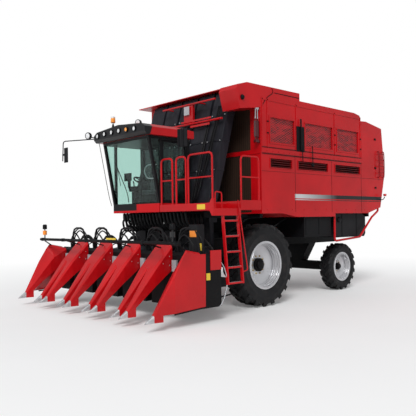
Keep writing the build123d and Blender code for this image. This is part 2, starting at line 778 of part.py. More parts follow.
def cab_shell():
    """Cab base, corner posts, header and rear wall in one welded frame, with every window left open."""
    base = block(cab_rear_x, cab_front_x, -cab_half, cab_half, cab_floor, cab_sill)
    well = block(cab_rear_x + 60, cab_front_x - 60, -cab_half + 60, cab_half - 60, cab_floor + 60, cab_sill + 1)
    inner = cab_half - pillar
    cage = side_plate([(cab_rear_x, cab_sill), (cab_front_x, cab_sill), (screen_top_x, cab_roof_z),
                       (cab_rear_x, cab_roof_z)], -cab_half, cab_half)
    high = cab_roof_z - pillar
    room = side_plate([(cab_rear_x + pillar, cab_sill - 1), (cab_front_x - pillar, cab_sill - 1),
                       (screen_x(high) - pillar, high), (cab_rear_x + pillar, high)], -inner, inner)
    cage -= room
    cage -= side_plate(screen_outline(-50, 120), -inner, inner)
    cage -= block(cab_rear_x - 1, cab_rear_x + pillar + 1, -cab_half + 120, cab_half - 120, cab_sill + 620, high - 40)
    cage -= side_plate(door_outline(0), -cab_half - 1, cab_half + 1)
    cage -= side_plate(quarter_outline(), -cab_half - 1, cab_half + 1)
    return base - well + cage + door_pins()


def door_eyes(low, height):
    """Hinge eyes outside the door's rear edge, one at each hinge, standing on the hinge's own height."""
    shape = Part()
    for z in door_hinges_z:
        axis = cab_rear_x + pillar + hinge_gap
        shape += Pos(axis, door_hinge_y, z + low + height / 2) * Cylinder(door_pin + 5, height)
    return shape


def door():
    """Glazed door frame on the cab's left side, hinged at its rear edge."""
    outer = side_plate(door_outline(hinge_gap), cab_half - door_depth, cab_half)
    opening = side_plate(door_outline(hinge_gap + door_depth), cab_half - door_depth - 1, cab_half + 1)
    shape = outer - opening + door_eyes(running_gap, 40)
    axis = cab_rear_x + pillar + hinge_gap
    for z in door_hinges_z:
        shape += block(axis, axis + 30, cab_half, door_hinge_y, z + running_gap, z + 40 + running_gap)
        shape -= Pos(axis, door_hinge_y, z + 20) * Cylinder(door_pin + 0.05, 60)
    return shape


def door_pins():
    """The cab's half of each door hinge: bracket, eye and pin."""
    axis = cab_rear_x + pillar + hinge_gap
    shape = door_eyes(-40, 40)
    for z in door_hinges_z:
        shape += block(axis - 40, axis, cab_half, door_hinge_y, z - 40, z)
        shape += Pos(axis, door_hinge_y, z + 10) * Cylinder(door_pin, 60)
    return shape


def door_glass():
    return side_plate(door_outline(hinge_gap + door_depth), cab_half - 26, cab_half - 26 + glass)


def cab_glass():
    """Windscreen, right window, both quarter windows and the rear window, each set in its frame."""
    inner = cab_half - pillar
    shape = side_plate(screen_outline(40, 40 + glass), -inner, inner)
    shape += side_plate(door_outline(0), -cab_half + 20, -cab_half + 20 + glass)
    for y in (-cab_half + 20, cab_half - 20 - glass):
        shape += side_plate(quarter_outline(), y, y + glass)
    high = cab_roof_z - pillar - 40
    return shape + block(cab_rear_x + 20, cab_rear_x + 20 + glass, -cab_half + 120, cab_half - 120,
                         cab_sill + 620, high)


def cab_roof():
    """Roof with its visor: crowned across, thicker to the front."""
    outline = [(-roof_half, cab_roof_z), (roof_half, cab_roof_z), (roof_half, roof_top - 90), (roof_half - 120, roof_top - 20),
               (0, roof_crown), (-roof_half + 120, roof_top - 20), (-roof_half, roof_top - 90)]
    shell = cross_plate(outline, roof_rear_x, roof_front_x)
    trim = side_plate([(roof_rear_x - 1, roof_rear_top), (roof_rear_x - 1, roof_crown + 50), (roof_front_x - 300, roof_crown + 50)],
                      -roof_half - 1, roof_half + 1)
    nose = side_plate([(roof_front_x - 60, cab_roof_z - 1), (roof_front_x + 1, cab_roof_z - 1), (roof_front_x + 1, cab_roof_z + 60)],
                      -roof_half - 1, roof_half + 1)
    return shell - trim - nose


def seat():
    """Seat pedestal bolted to the cab floor, and the frame behind the backrest."""
    floor = cab_floor + 60
    base = block(2230, 2560, -190, 190, floor, floor + 330)
    back = block(2180, 2215, -200, 200, floor + 330, floor + 900)
    shelf = block(2180, 2560, -200, 200, floor + 330, floor + 350)
    return base + back + shelf


def seat_pads():
    """Cushion and backrest, plain closed forms."""
    floor = cab_floor + 60
    cushion = block(2290, 2620, -240, 240, floor + 350.3, floor + 450)
    rest = block(2215.3, 2285, -230, 230, floor + 350.3, floor + 950)
    return cushion + rest


def steering_column():
    """Steering column with its wheel, between the seat and the windscreen."""
    floor = cab_floor + 60
    column = rod((2740, 0, floor - 20), (2680, 0, floor + 655), 38)
    tilt = Pos(2680, 0, floor + 655) * Rot(0, -25, 0)
    shape = column + tilt * (Cylinder(184, 24) - Cylinder(158, 26)) + tilt * Box(340, 30, 14) + tilt * Box(30, 340, 14)
    return shape - cab_shell()


def mirrors():
    """Twin mirrors on the deck's middle guard rail, one on a swan-neck arm from the roof at the right."""
    shape = Part()
    x = cab_front_x - 20
    foot = deck_top + rail_height
    for y, near, far in ((1475, 1430, 1560), (1605, 1600, 1720)):
        shape += bar((x, y, foot), (x, y, 3780), 12)
        shape += block(x - 30, x - 10, near, far, 3430, 3800)
        shape += block(x - 14, x, y - 10, y + 10, 3500, 3540)
    arm = pipe([(3150, -roof_half + 60, 3850), (3575, -1865, 3860), (3575, -1900, 3390)], 12, 60)
    right = block(3545, 3565, -1850, -1700, 3350, 3700) + block(3560, 3587, -1900, -1840, 3520, 3560)
    return shape + arm + right - cab_roof() - handrails()


def lamps():
    """Lamps along the visor and the beacon on the roof."""
    shape = Part()
    for y, z in ((-800, 3880), (-520, 3895), (-240, 3900), (40, 3900), (320, 3890), (600, 3880)):
        shape += rod((roof_front_x, y, z), (roof_front_x + 14, y, z), 46)
    shape += rod((2875, -800, 3900), (2875, -800, 4230), 12)
    shape += rod((2875, -800, 4230), (2875, -800, 4370), 50)
    return shape - cab_roof()


def fuel_tank():
    """Tank hung on the left side, under the body."""
    outline = [(-2200, body_bottom), (-3480, body_bottom), (-3668, body_bottom - 90), (-3668, 1520), (-3600, 1437),
               (-2280, 1437), (-2200, 1520)]
    return side_plate(outline, 1250, 1800) - body_space() - block(-3830, -3600, 1000, 1900, 2000, 2100)


def service_box():
    """Square box under the body, ahead of the tank."""
    return block(-1950, -815, 1100, 1850, 1490, body_belly)


def tail_frame():
    """Tube frame below the tail on each side, both of its ends seated under the body."""
    left = pipe([(-4190, 1890, 2320), (-4190, 1890, 2130), (-3860, 1890, 1960), (-3230, 1890, 1430),
                 (-2050, 1890, 1357), (-2050, 1890, 2150)], 28, 60)
    left -= body_space()
    return left + other_side(left)


def row_centres():
    return [(i - (row_count - 1) / 2) * row_spacing for i in range(row_count)]


def drum_places():
    """Centres (x, y) of the upright drums, one each side of every throat."""
    return [(2990, y + side * (throat_half + drum_radius - 22)) for y in row_centres() for side in (-1, 1)]


def drums():
    """Picking drums with a ring of spindle discs, in their pockets beside the throats."""
    shape = Part()
    for x, y in drum_places():
        shape += Pos(x, y, (drum_bottom + drum_top) / 2) * Cylinder(drum_radius, drum_top - drum_bottom)
    return shape


def cabinets():
    """Drum cabinets: one housing a row, split by its throat, with a pocket for each drum."""
    shape = Part()
    half = row_spacing / 2 - 4
    outline = [(cabinet_rear_x, cabinet_bottom), (cabinet_front_x, cabinet_bottom), (cabinet_front_x, cabinet_top - 60),
               (cabinet_front_x - 90, cabinet_top), (cabinet_rear_x, cabinet_top - 120)]
    for y in row_centres():
        body = side_plate(outline, y - half, y + half)
        body -= block(cabinet_rear_x + 100, cabinet_front_x + 1, y - throat_half, y + throat_half,
                      cabinet_bottom - 1, cabinet_top - 180)
        shape += body
    for x, y in drum_places():
        pocket = Cylinder(drum_radius + hinge_gap, drum_top - drum_bottom + 2 * running_gap)
        shape -= Pos(x, y, (drum_bottom + drum_top) / 2) * pocket
    return shape


def throat_plates():
    """Pressure plates either side of every throat, on the cabinets' front faces."""
    shape = Part()
    for y in row_centres():
        for near, far in ((-230, -throat_half - 4), (throat_half + 4, 230)):
            shape += block(cabinet_front_x, cabinet_front_x + 40, y + near, y + far, 960, 1180)
    return shape


def section(x, inner, outer, low, inner_top, outer_top, bevel, outer_low=None):
    """A hood's cross-section: upright sides and bevelled shoulders; the outer side may reach lower."""
    foot = low if outer_low is None else outer_low
    points = [(inner, low), (inner, inner_top - bevel), (inner + bevel, inner_top), (outer - bevel, outer_top),
              (outer, outer_top - bevel), (outer, foot)]
    return [(x, y, z) for y, z in points]


def arm_top(x):
    """Height of a divider's ridge between the kink and the steel point."""
    return kink_z + (point_base_z - kink_z) * (x - kink_x) / (point_base_x - kink_x)


def divider_arm(inner, outer, tip, start_top):
    """One tapering arm: from its share of the hood at the kink down to the steel point's seat, with its foot."""
    stations = []
    for x, low in ((kink_x, 700), (foot_x, 340)):
        t = (x - kink_x) / (point_base_x - kink_x)
        near = inner + (tip - arm_half - inner) * t
        far = outer + (tip + arm_half - outer) * t
        stations.append((x, near, far, low, arm_top(x)))
    x, near, far, low, top = stations[1]
    end = section(point_base_x, tip - arm_half, tip + arm_half, point_foot_z, point_base_z, point_base_z, 22)
    upper = skin(section(*stations[0], stations[0][4], 50), section(x, near, far, low, top, top, 35))
    foot = skin(section(x, near, far, point_foot_z, top, top, 35), end)
    return upper + foot


def hoods():
    """Double-armed hoods between the rows: one cover that splits at the kink into two tapering arms."""
    shape = Part()
    for i in range(row_count - 1):
        y = (i - (row_count - 2) / 2) * row_spacing
        inner, outer = y - hood_half, y + hood_half
        cover = skin(section(cabinet_front_x, inner, outer, 990, hood_rear_top, hood_rear_top, 40),
                      section(kink_x, inner, outer, 700, kink_z, kink_z, 50))
        shape += cover + divider_arm(inner, y, y - tip_offset, kink_z) + divider_arm(y, outer, y + tip_offset, kink_z)
    return shape - throat_plates()


def end_dividers():
    """Single-armed left end divider: high outer ridge, flat outer side down to the skid tube, rear cover plate."""
    edge = row_count / 2 * row_spacing
    tip = edge - end_tip_inset
    inner, outer = edge - hood_half, head_half
    side_low = 300
    stations = [(cabinet_front_x, inner, outer, 990, 1300, 1342, 337), (3613, inner, outer, 770, 1120, 1405, 319),
                (kink_x, inner, outer, 700, 1030, 1290, 314), (3900, 2317, outer, 545, 790, 985, side_low),
                (foot_x, 2352, 2520, 340, 505, 600, 290)]
    shape = Part()
    for a, b in zip(stations, stations[1:]):
        shape += skin(section(*a[:6], 30, a[6]), section(*b[:6], 30, b[6]))
    x, near, far, low, near_top, far_top, side = stations[-1]
    shape += skin(section(x, near, far, point_foot_z, near_top, far_top, 30),
                   section(point_base_x, tip - arm_half, tip + arm_half, point_foot_z, point_base_z, point_base_z, 22))
    cabinet_side = (row_count - 1) / 2 * row_spacing + row_spacing / 2 - 4
    shape += side_plate([(3150, 1313), (cabinet_front_x, 1342 - 30), (cabinet_front_x, 337), (3166, 344)],
                        cabinet_side, outer)
    cover = block(cabinet_rear_x, 3005, cabinet_side, cabinet_side + 12, 1000, 1370)
    return shape + cover


def points():
    """Steel points on the arms' ends."""
    shape = Part()
    centres = []
    for i in range(row_count - 1):
        y = (i - (row_count - 2) / 2) * row_spacing
        centres += [y - tip_offset, y + tip_offset]
    end = row_count / 2 * row_spacing - end_tip_inset
    for y in centres + [-end, end]:
        root = section(point_base_x, y - arm_half, y + arm_half, point_foot_z, point_base_z, point_base_z, 22)
        nose = section(point_tip_x, y - 7, y + 7, ground_clearance, ground_clearance + 14, ground_clearance + 14, 3)
        shape += skin(root, nose)
    return shape


def toolbar():
    """Square beam that carries the row units, with an eye plate pair and pin for each lift arm."""
    half = beam_size / 2
    span = head_half - 150
    shape = block(beam_x - half, beam_x + half, -span, span, beam_z - half, beam_z + half)
    for y in row_centres():
        shape += block(beam_x + half, cabinet_rear_x, y - 60, y + 60, beam_z - half, beam_z + half)
    inner = arm_half_width + joint_side_gap
    for y in (-arm_y, arm_y):
        for near, far in ((-inner - 30, -inner), (inner, inner + 30)):
            shape += block(head_pivot_x - 10, beam_x - half, y + near, y + far, beam_z - 55, beam_z + 55)
            shape += rod((head_pivot_x, y + near, beam_z), (head_pivot_x, y + far, beam_z), 55)
        shape += rod((head_pivot_x, y - inner, beam_z), (head_pivot_x, y + inner, beam_z), arm_pin)
    return shape


def head_tubes():
    """Bar across the head above the hoods with its brackets, and the skid tubes low at the ends."""
    shape = bar((bar_x, -bar_half, bar_z), (bar_x, bar_half, bar_z), bar_radius)
    for i in range(row_count - 1):
        y = (i - (row_count - 2) / 2) * row_spacing
        shape += bar((bar_x, y, bar_z), (hood_rear_x + 60, y, hood_rear_top - 58), 14)
    for y in (-head_half + 60, head_half - 60):
        shape += bar((bar_x, y, bar_z), (3500, y, 1330), 14)
    shape -= hoods() + end_dividers() + other_side(end_dividers())
    skids = Part()
    for side in (-1, 1):
        y = side * (head_half - 18)
        skids += bar((3166, y, 327.7), (3900, y, 283.7), 16)
        skids += bar((2780, side * 1950, cabinet_bottom), (1750, side * 1950, 400), 16)
    return shape + (skids - cabinets())


def lift_arms():
    """Lower links between the chassis and the head, joined by a torque tube."""
    shape = rod((1800, -arm_y, 883), (1800, arm_y, 883), 45)
    for y in (-arm_y, arm_y):
        near, far = y - arm_half_width, y + arm_half_width
        shape += side_plate([(arm_pivot_x, arm_pivot_z + 62), (head_pivot_x, beam_z + 55), (head_pivot_x, beam_z - 55),
                             (arm_pivot_x, arm_pivot_z - 62)], near, far)
        shape += rod((arm_pivot_x, near, arm_pivot_z), (arm_pivot_x, far, arm_pivot_z), 62)
        shape += rod((head_pivot_x, near, beam_z), (head_pivot_x, far, beam_z), 55)
        for x, z in ((arm_pivot_x, arm_pivot_z), (head_pivot_x, beam_z)):
            shape -= rod((x, near - 1, z), (x, far + 1, z), arm_pin + 0.05)
    return shape


def duct_boots():
    """Collars that slide in the ducts' sleeves, and the boots from them down to the backs of the cabinets."""
    shape = Part()
    back = duct_line[0][0] - duct_depth / 2 - collar_depth / 2
    front = back + collar_depth
    for y, row in zip(duct_centres(), row_centres()):
        near, far = y - collar_width / 2, y + collar_width / 2
        shape += block(back, front, near, far, collar_bottom, collar_top)
        top = [(back, near, collar_bottom), (front, near, collar_bottom), (front, far, collar_bottom),
               (back, far, collar_bottom)]
        end = [(cabinet_rear_x, row - 170, 900), (cabinet_rear_x, row - 170, 1120),
               (cabinet_rear_x, row + 170, 1120), (cabinet_rear_x, row + 170, 900)]
        shape += skin(top, end)
    return shape


def head_hoses():
    """Hose arches over the cabinets, one a row."""
    shape = Part()
    for y in row_centres():
        shape += pipe([(3090, y - 330, 1200), (3090, y - 230, 1790), (3090, y + 230, 1790), (3090, y + 330, 1200)],
                      22, 150)
    return shape - cabinets()


def marker_lamps():
    """Warning lamps on short posts at both ends of the cross bar."""
    shape = Part()
    for y in (-2400, 2400):
        shape += bar((bar_x, y, bar_z), (bar_x, y, 1870), 14) + bar((bar_x, y, 1640), (bar_x, y, 1740), 48)
        shape += bar((bar_x, y, 1780), (bar_x, y, 1870), 40)
    return shape - bar((bar_x, -bar_half, bar_z), (bar_x, bar_half, bar_z), bar_radius)


os.makedirs("parts", exist_ok=True)

wheel_set("front", front_tyre, front_axle_x, front_track)
wheel_set("rear", rear_tyre, rear_axle_x, rear_track)
save("front_axle", front_axle())
save("rear_axle", rear_axle())
save("knuckle_left", knuckle())
save("knuckle_right", other_side(knuckle()))
save("main_frame", main_frame())
save("engine", engine())
save("fuel_tank", fuel_tank())
save("service_box", service_box())
save("tail_frame", tail_frame())

save("side_walls", side_wall() + other_side(side_wall()))
save("vent_grilles", vent_grilles() + other_side(vent_grilles()))
save("body_inner", body_inner())
save("rear_housing", rear_housing())

save("basket_walls", basket_walls())
save("mesh_panels", mesh_panels())
save("basket_nose", basket_nose())
save("basket_lid", lid())
save("basket_cylinders", basket_cylinders())
save("side_linkage", side_linkage())

save("ducts", ducts())
save("duct_frame", duct_frame())

save("deck", deck())
save("handrails", handrails())
save("ladder", ladder())
save("cab_shell", cab_shell())
save("cab_glass", cab_glass())
save("cab_roof", cab_roof())
save("cab_door", door())
save("door_glass", door_glass())
save("seat_frame", seat())
save("seat_pads", seat_pads())
save("steering_column", steering_column())
save("mirrors", mirrors())
save("lamps", lamps())

save("toolbar", toolbar())
save("cabinets", cabinets())
save("picker_drums", drums())
save("throat_plates", throat_plates())
save("hoods", hoods())
save("end_dividers", end_dividers() + other_side(end_dividers()))
save("divider_points", points())
save("head_tubes", head_tubes())
save("duct_boots", duct_boots())
save("head_hoses", head_hoses())
save("marker_lamps", marker_lamps())
save("lift_arms", lift_arms())
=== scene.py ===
# %% [markdown]
# # A self-propelled cotton picker
# The real machine picks five rows and blows the cotton up its ducts into a mesh basket. The packed
# CAD model is the frame here. This notebook gives every CAD node a finish and adds the small pieces
# that a plain solid lacks: hoses, nuts, seams, lamps, window frames and a stitched seat.

# %% Load the frame
import math

import bpy
import numpy as np
from mathutils import Matrix, Vector


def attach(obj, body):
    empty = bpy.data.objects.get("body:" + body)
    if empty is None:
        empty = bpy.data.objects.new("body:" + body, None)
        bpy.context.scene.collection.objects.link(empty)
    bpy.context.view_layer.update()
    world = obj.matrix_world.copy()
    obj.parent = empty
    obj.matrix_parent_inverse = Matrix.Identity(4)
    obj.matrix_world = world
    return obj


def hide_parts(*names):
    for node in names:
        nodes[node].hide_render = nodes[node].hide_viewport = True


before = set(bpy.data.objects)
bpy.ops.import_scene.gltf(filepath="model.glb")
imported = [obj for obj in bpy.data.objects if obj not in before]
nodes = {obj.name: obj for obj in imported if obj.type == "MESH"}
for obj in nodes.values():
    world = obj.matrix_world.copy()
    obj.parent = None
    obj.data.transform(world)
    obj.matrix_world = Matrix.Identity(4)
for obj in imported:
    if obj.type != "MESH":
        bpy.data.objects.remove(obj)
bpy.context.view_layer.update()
scene = bpy.context.scene

# %% [markdown]
# ## Shader maths
# A pattern is a sum, and wiring one by hand is slow. So a `Value` wraps one socket, its operators add
# the Math nodes, and the pattern reads as its formula. Every node comes from one method, `Wiring.node`.


# %% A node tree, and the values in it
class Wiring:
    """A node tree that is built by one method."""

    def __init__(self, tree):
        self.tree = tree

    def node(self, kind, settings=None, values=None):
        """A node of this type: its settings are set first, then each socket gets its value or link."""
        made = self.tree.nodes.new("ShaderNode" + kind)
        for setting, value in (settings or {}).items():
            setattr(made, setting, value)
        for socket, value in (values or {}).items():
            self.feed(made.inputs[socket], value)
        return made

    def feed(self, socket, value):
        """Link a Value or a socket; set a number, a vector or a colour of three channels."""
        if isinstance(value, Value):
            self.tree.links.new(value.socket, socket)
        elif isinstance(value, bpy.types.NodeSocket):
            self.tree.links.new(value, socket)
        else:
            socket.default_value = (*value, 1.0) if socket.type == "RGBA" else value

    def maths(self, operation, *operands):
        made = self.node("Math", {"operation": operation}, dict(enumerate(operands)))
        return Value(self, made.outputs[0])


class Value:
    """One number inside a material: the usual operators add the nodes that work it out."""

    def __init__(self, wiring, socket):
        self.wiring, self.socket = wiring, socket

    def __add__(self, other):
        return self.wiring.maths("ADD", self, other)

    def __sub__(self, other):
        return self.wiring.maths("SUBTRACT", self, other)

    def __rsub__(self, other):
        return self.wiring.maths("SUBTRACT", other, self)

    def __mul__(self, other):
        return self.wiring.maths("MULTIPLY", self, other)

    def __truediv__(self, other):
        return self.wiring.maths("DIVIDE", self, other)

    def __rtruediv__(self, other):
        return self.wiring.maths("DIVIDE", other, self)

    def __neg__(self):
        return self * -1.0

    __radd__, __rmul__ = __add__, __mul__

    def above(self, limit):
        return self.wiring.maths("GREATER_THAN", self, limit)

    def below(self, limit):
        return self.wiring.maths("LESS_THAN", self, limit)

    def between(self, low, high):
        return self.above(low) * self.below(high)

    def sine(self):
        return self.wiring.maths("SINE", self)

    def wave(self, pitch):
        """A sine that repeats after each pitch."""
        return (self * (2 * math.pi / pitch)).sine()

    def size(self):
        return self.wiring.maths("ABSOLUTE", self)

    def root(self):
        return self.wiring.maths("SQRT", self)

    def clamp(self):
        return Value(self.wiring, self.wiring.node("Clamp", {}, {0: self}).outputs[0])

    def ramp(self, start, end):
        """0 before start, 1 after end and straight between."""
        return ((self - start) / (end - start)).clamp()


print("a Value can be", ", ".join(name for name in vars(Value) if not name.startswith("_")))

# %% [markdown]
# ## One material
# A `Paint` is a Principled shader with a name. What is the same all over is set on the shader's own
# sockets. What changes over the surface is a link, to colour, roughness, metal or the normal only.

# %% A Principled material under construction
SOCKETS = {"colour": "Base Color", "rough": "Roughness", "metal": "Metallic", "coat": "Coat Weight",
           "coat_rough": "Coat Roughness", "ior": "IOR", "clear": "Transmission Weight",
           "sheen": "Sheen Weight", "specular": "Specular IOR Level"}


class Paint(Wiring):
    """A material whose shader sockets have the short names above."""

    def __init__(self, name, **inputs):
        self.material = bpy.data.materials.new(name)
        self.material.use_nodes = True
        super().__init__(self.material.node_tree)
        self.shader = self.tree.nodes["Principled BSDF"]
        self.vector = self.node("TexCoord").outputs["Object"]
        self.axes = dict(zip("xyz", self.node("SeparateXYZ", {}, {0: self.vector}).outputs))
        self.shade(**inputs)

    def shade(self, **inputs):
        """Set or link the shader's sockets."""
        for name, value in inputs.items():
            self.feed(self.shader.inputs[SOCKETS[name]], value)

    def place(self, axis):
        """Object coordinate along an axis, in metres."""
        return Value(self, self.axes[axis])

    def noise(self, scale, detail=3.0, stretch=None):
        """Cloudy noise from 0 to 1, finer with scale; stretch is how much denser it is along each axis."""
        vector = self.vector
        if stretch:
            vector = self.node("Mapping", {}, {0: vector, "Scale": stretch}).outputs[0]
        made = self.node("TexNoise", {}, {"Vector": vector, "Scale": scale, "Detail": detail})
        return Value(self, made.outputs[0])

    def blend(self, factor, first, second):
        """A colour part-way from first to second; either may be the result of another blend."""
        return self.node("Mix", {"data_type": "RGBA"}, {"Factor": factor, 6: first, 7: second}).outputs[2]

    def bump(self, height, depth):
        """Lean the normal as if the surface stood out by height times depth, in metres."""
        bump = self.node("Bump", {}, {"Height": height, "Distance": depth, "Strength": 1.0})
        self.feed(self.shader.inputs["Normal"], bump.outputs[0])


print(len(SOCKETS), "shader sockets are used:", ", ".join(SOCKETS.values()))

# %% [markdown]
# ## Painted metal
# Sprayed steel has a faint orange peel, a little colour drift, and field dust low down. An even colour
# would look like plastic. Every finish is read in object coordinates, in metres, so its scale is the
# real one and nothing slides when a body moves.

# %% Colours and sprayed paint
RED = (0.50, 0.0025, 0.006)
DEEP_RED = (0.24, 0.003, 0.006)
BLACK = (0.006, 0.006, 0.007)
CHARCOAL = (0.016, 0.016, 0.021)
SILVER = (0.60, 0.60, 0.62)
GREY = (0.42, 0.43, 0.45)
YELLOW = (0.72, 0.50, 0.03)
ORANGE = (0.80, 0.24, 0.02)
DUST = (0.24, 0.18, 0.13)
GLOSS = dict(specular=0.2, coat=0.22, coat_rough=0.10)
DUST_TOP, DUST_FULL = 1.5, -0.1


def sprayed(name, colour, rough, drift=0.10, dust=0.06, **constants):
    """Sprayed paint: colour drifts in slow noise, dust fades in below DUST_TOP, fine peel in the normal."""
    paint = Paint(name, colour=colour, rough=rough, **constants)
    slow, fine = paint.noise(1.3, 4.0), paint.noise(38.0, 5.0)
    darker = tuple(channel * (1 - 2.2 * drift) for channel in colour)
    drifting = paint.blend(slow.ramp(0.35, 0.7), darker, colour)
    low = (-paint.place("z")).ramp(-DUST_TOP, -DUST_FULL) * fine.ramp(0.4, 0.75) * dust
    paint.base = paint.blend(low, drifting, DUST)
    paint.shade(colour=paint.base, rough=fine * 0.14 + (rough - 0.07) + low * 0.5)
    paint.bump(paint.noise(260.0, 2.0), 0.00012)
    return paint


red = sprayed("red_paint", RED, 0.34, **GLOSS)
deep_red = sprayed("deep_red_paint", DEEP_RED, 0.45, specular=0.2)
black = sprayed("black_paint", BLACK, 0.5, dust=0.04, specular=0.10)
silver = sprayed("rim_paint", SILVER, 0.30, drift=0.05, dust=0.05, metal=0.55)
grey = sprayed("grey_paint", GREY, 0.45, drift=0.05)
yellow = sprayed("yellow_paint", YELLOW, 0.42, drift=0.04)
orange = sprayed("orange_paint", ORANGE, 0.42, drift=0.04)
print("a sprayed paint has", len(red.tree.nodes), "nodes")

# %% [markdown]
# ## Painted metal with a pattern
# The ducts are charcoal with long faint streaks where dust and rain run down them. The side walls
# carry a stripe that fades from silver to black. It could be a piece laid on the sheet, but paint has
# no thickness that shows, so it is a mask.

# %% Ducts and side walls
STREAK = (0.07, 0.07, 0.085)
STRIPES = ((2.425, 2.525), (2.384, 2.402))
STRIPE_ENDS = (-4.28, -0.35)
STRIPE_SILVER = (0.50, 0.51, 0.52)
OUTER_SHEET = 1.945

ducts_paint = sprayed("duct_paint", CHARCOAL, 0.42, drift=0.12, dust=0.03, specular=0.14)
streak = ducts_paint.noise(2.2, 6.0, stretch=(7.0, 7.0, 0.5)).ramp(0.48, 0.8)
ducts_paint.shade(colour=ducts_paint.blend(streak * 0.22, ducts_paint.base, STREAK))

wall_paint = sprayed("side_wall_paint", RED, 0.34, **GLOSS)
along, up, across = (wall_paint.place(axis) for axis in "xzy")
stripe = up.between(*STRIPES[0]) + up.between(*STRIPES[1])
stripe = stripe * along.between(*STRIPE_ENDS) * across.size().above(OUTER_SHEET)
fade = (-along).ramp(0.6, 2.1)
fading = wall_paint.blend(fade, STRIPE_SILVER, BLACK)
wall_paint.shade(colour=wall_paint.blend(stripe, wall_paint.base, fading))
print("the stripe is", round(STRIPE_ENDS[1] - STRIPE_ENDS[0], 2), "m long")

# %% [markdown]
# Behind the ducts, body and basket have a screen of upright slats. It lies in shadow, painted in as a
# dark brown: a mask within the sheet's edges is enough, with a sine across it as slats.

# %% Screens behind the ducts, dark with painted shade
SHADED_SCREEN = (0.040, 0.022, 0.015)
SHADED_SLAT_GAP = (0.02, 0.013, 0.010)
SCREEN_BACK, SCREEN_HALF, SLAT_PITCH = 0.80, 1.64, 0.06


def screened(name, low, high):
    """Red sheet whose front face holds an upright-slatted screen between two heights, its dark brown painted
    shade.
    """
    paint = sprayed(name, RED, 0.34, **GLOSS)
    inside = paint.place("x").above(SCREEN_BACK) * paint.place("y").size().below(SCREEN_HALF)
    inside = inside * paint.place("z").between(low, high)
    slat = paint.place("y").wave(SLAT_PITCH).ramp(-0.2, 0.5)
    # The slats' dark brown, and the darker gaps between them, are painted shade on the front face.
    shaded_slats = paint.blend(slat, SHADED_SLAT_GAP, SHADED_SCREEN)
    paint.shade(colour=paint.blend(inside, paint.base, shaded_slats))
    return paint


front_paint = screened("front_screen_paint", 2.1, 3.39)
basket_paint = screened("basket_screen_paint", 3.5, 4.5)
print("a screen has about", round(2 * SCREEN_HALF / SLAT_PITCH), "slats")

# %% [markdown]
# The cab's frame is black above its sill and red below, with a black panel let into the front. The
# roof is red, and its visor black. Each is one pressing in the CAD, so a height or a slant divides it.

# %% Cab and roof
SILL = 2.312
PANEL_FACE, PANEL_EDGE, PANEL_FOOT = 2.85, 0.05, 2.175
VISOR_SLANT, VISOR_START = 0.35, 4.46

cab_paint = sprayed("cab_paint", BLACK, 0.36, dust=0.03, specular=0.15)
below_sill = cab_paint.place("z").below(SILL)
front_panel = cab_paint.place("x").above(PANEL_FACE) * (-cab_paint.place("y")).above(-PANEL_EDGE)
front_panel = front_panel * cab_paint.place("z").above(PANEL_FOOT)
cab_paint.shade(colour=cab_paint.blend(below_sill * (1.0 - front_panel), cab_paint.base, RED))

roof_paint = sprayed("roof_paint", RED, 0.32, **GLOSS)
visor = (roof_paint.place("x") + roof_paint.place("z") * VISOR_SLANT).above(VISOR_START)
roof_paint.shade(colour=roof_paint.blend(visor, roof_paint.base, BLACK))
print("the cab is red below", SILL, "m")

# %% [markdown]
# ## Expanded sheet
# The basket's windows and vents are expanded sheet. Real holes would need a million faces. So a
# lozenge pattern in x and z paints dark holes between red strands, and slow noise lets trapped dust
# and shadow show through unevenly.


# %% Lozenges
def expanded(name, strand, hole, pitch):
    """Lozenges: the product of two sines along the diagonals is small in a strand and large in a hole."""
    paint = Paint(name, colour=strand, rough=0.5)
    x, z = paint.place("x"), paint.place("z")
    rising = ((x + z * 2.0) * (math.pi / pitch)).sine().size()
    falling = ((x - z * 2.0) * (math.pi / pitch)).sine().size()
    open_area = (rising * falling).ramp(0.22, 0.42)
    uneven = paint.noise(5.0, 4.0, stretch=(1.0, 1.0, 2.5)).ramp(0.38, 0.66)
    shadow = open_area * (uneven * 0.6 + 0.4) + uneven * 0.25
    paint.shade(colour=paint.blend(shadow.clamp(), strand, hole))
    paint.bump(-open_area, 0.004)
    return paint


mesh = expanded("expanded_sheet", (0.42, 0.004, 0.008), (0.035, 0.002, 0.003), 0.11)
vent_mesh = expanded("vent_sheet", (0.26, 0.004, 0.006), (0.008, 0.002, 0.002), 0.09)
print("expanded sheets:", mesh.material.name, vent_mesh.material.name)

# %% [markdown]
# ## Rubber, plastic and castings
# Matt surfaces differ by their grain: dried mud on tyres, fine leather on moulded plastic, coarse
# sand on castings. One noise each for tone and grain is enough from a step away.

# %% Matt finishes
tyre = Paint("tyre_rubber", colour=(0.008, 0.008, 0.009), rough=0.6, specular=0.18)
mud = tyre.noise(7.0, 7.0).ramp(0.52, 0.72) * 0.16
rubber = tyre.blend(tyre.noise(1.5), (0.006, 0.006, 0.007), (0.014, 0.014, 0.015))
tyre.shade(colour=tyre.blend(mud, rubber, (0.07, 0.058, 0.048)), rough=tyre.noise(30.0) * 0.3 + 0.42)
tyre.bump(tyre.noise(140.0, 4.0), 0.0012)

plastic = Paint("black_plastic", colour=(0.010, 0.010, 0.011), rough=0.5, specular=0.12)
plastic.shade(colour=plastic.blend(plastic.noise(4.0), (0.006, 0.006, 0.007), (0.014, 0.014, 0.016)))
plastic.bump(plastic.noise(420.0, 2.0), 0.0003)

iron = Paint("engine_iron", colour=(0.04, 0.04, 0.042), rough=0.7, metal=0.4)
iron.shade(colour=iron.blend(iron.noise(9.0, 6.0), (0.02, 0.02, 0.022), (0.07, 0.065, 0.06)))
iron.bump(iron.noise(60.0, 5.0), 0.0015)

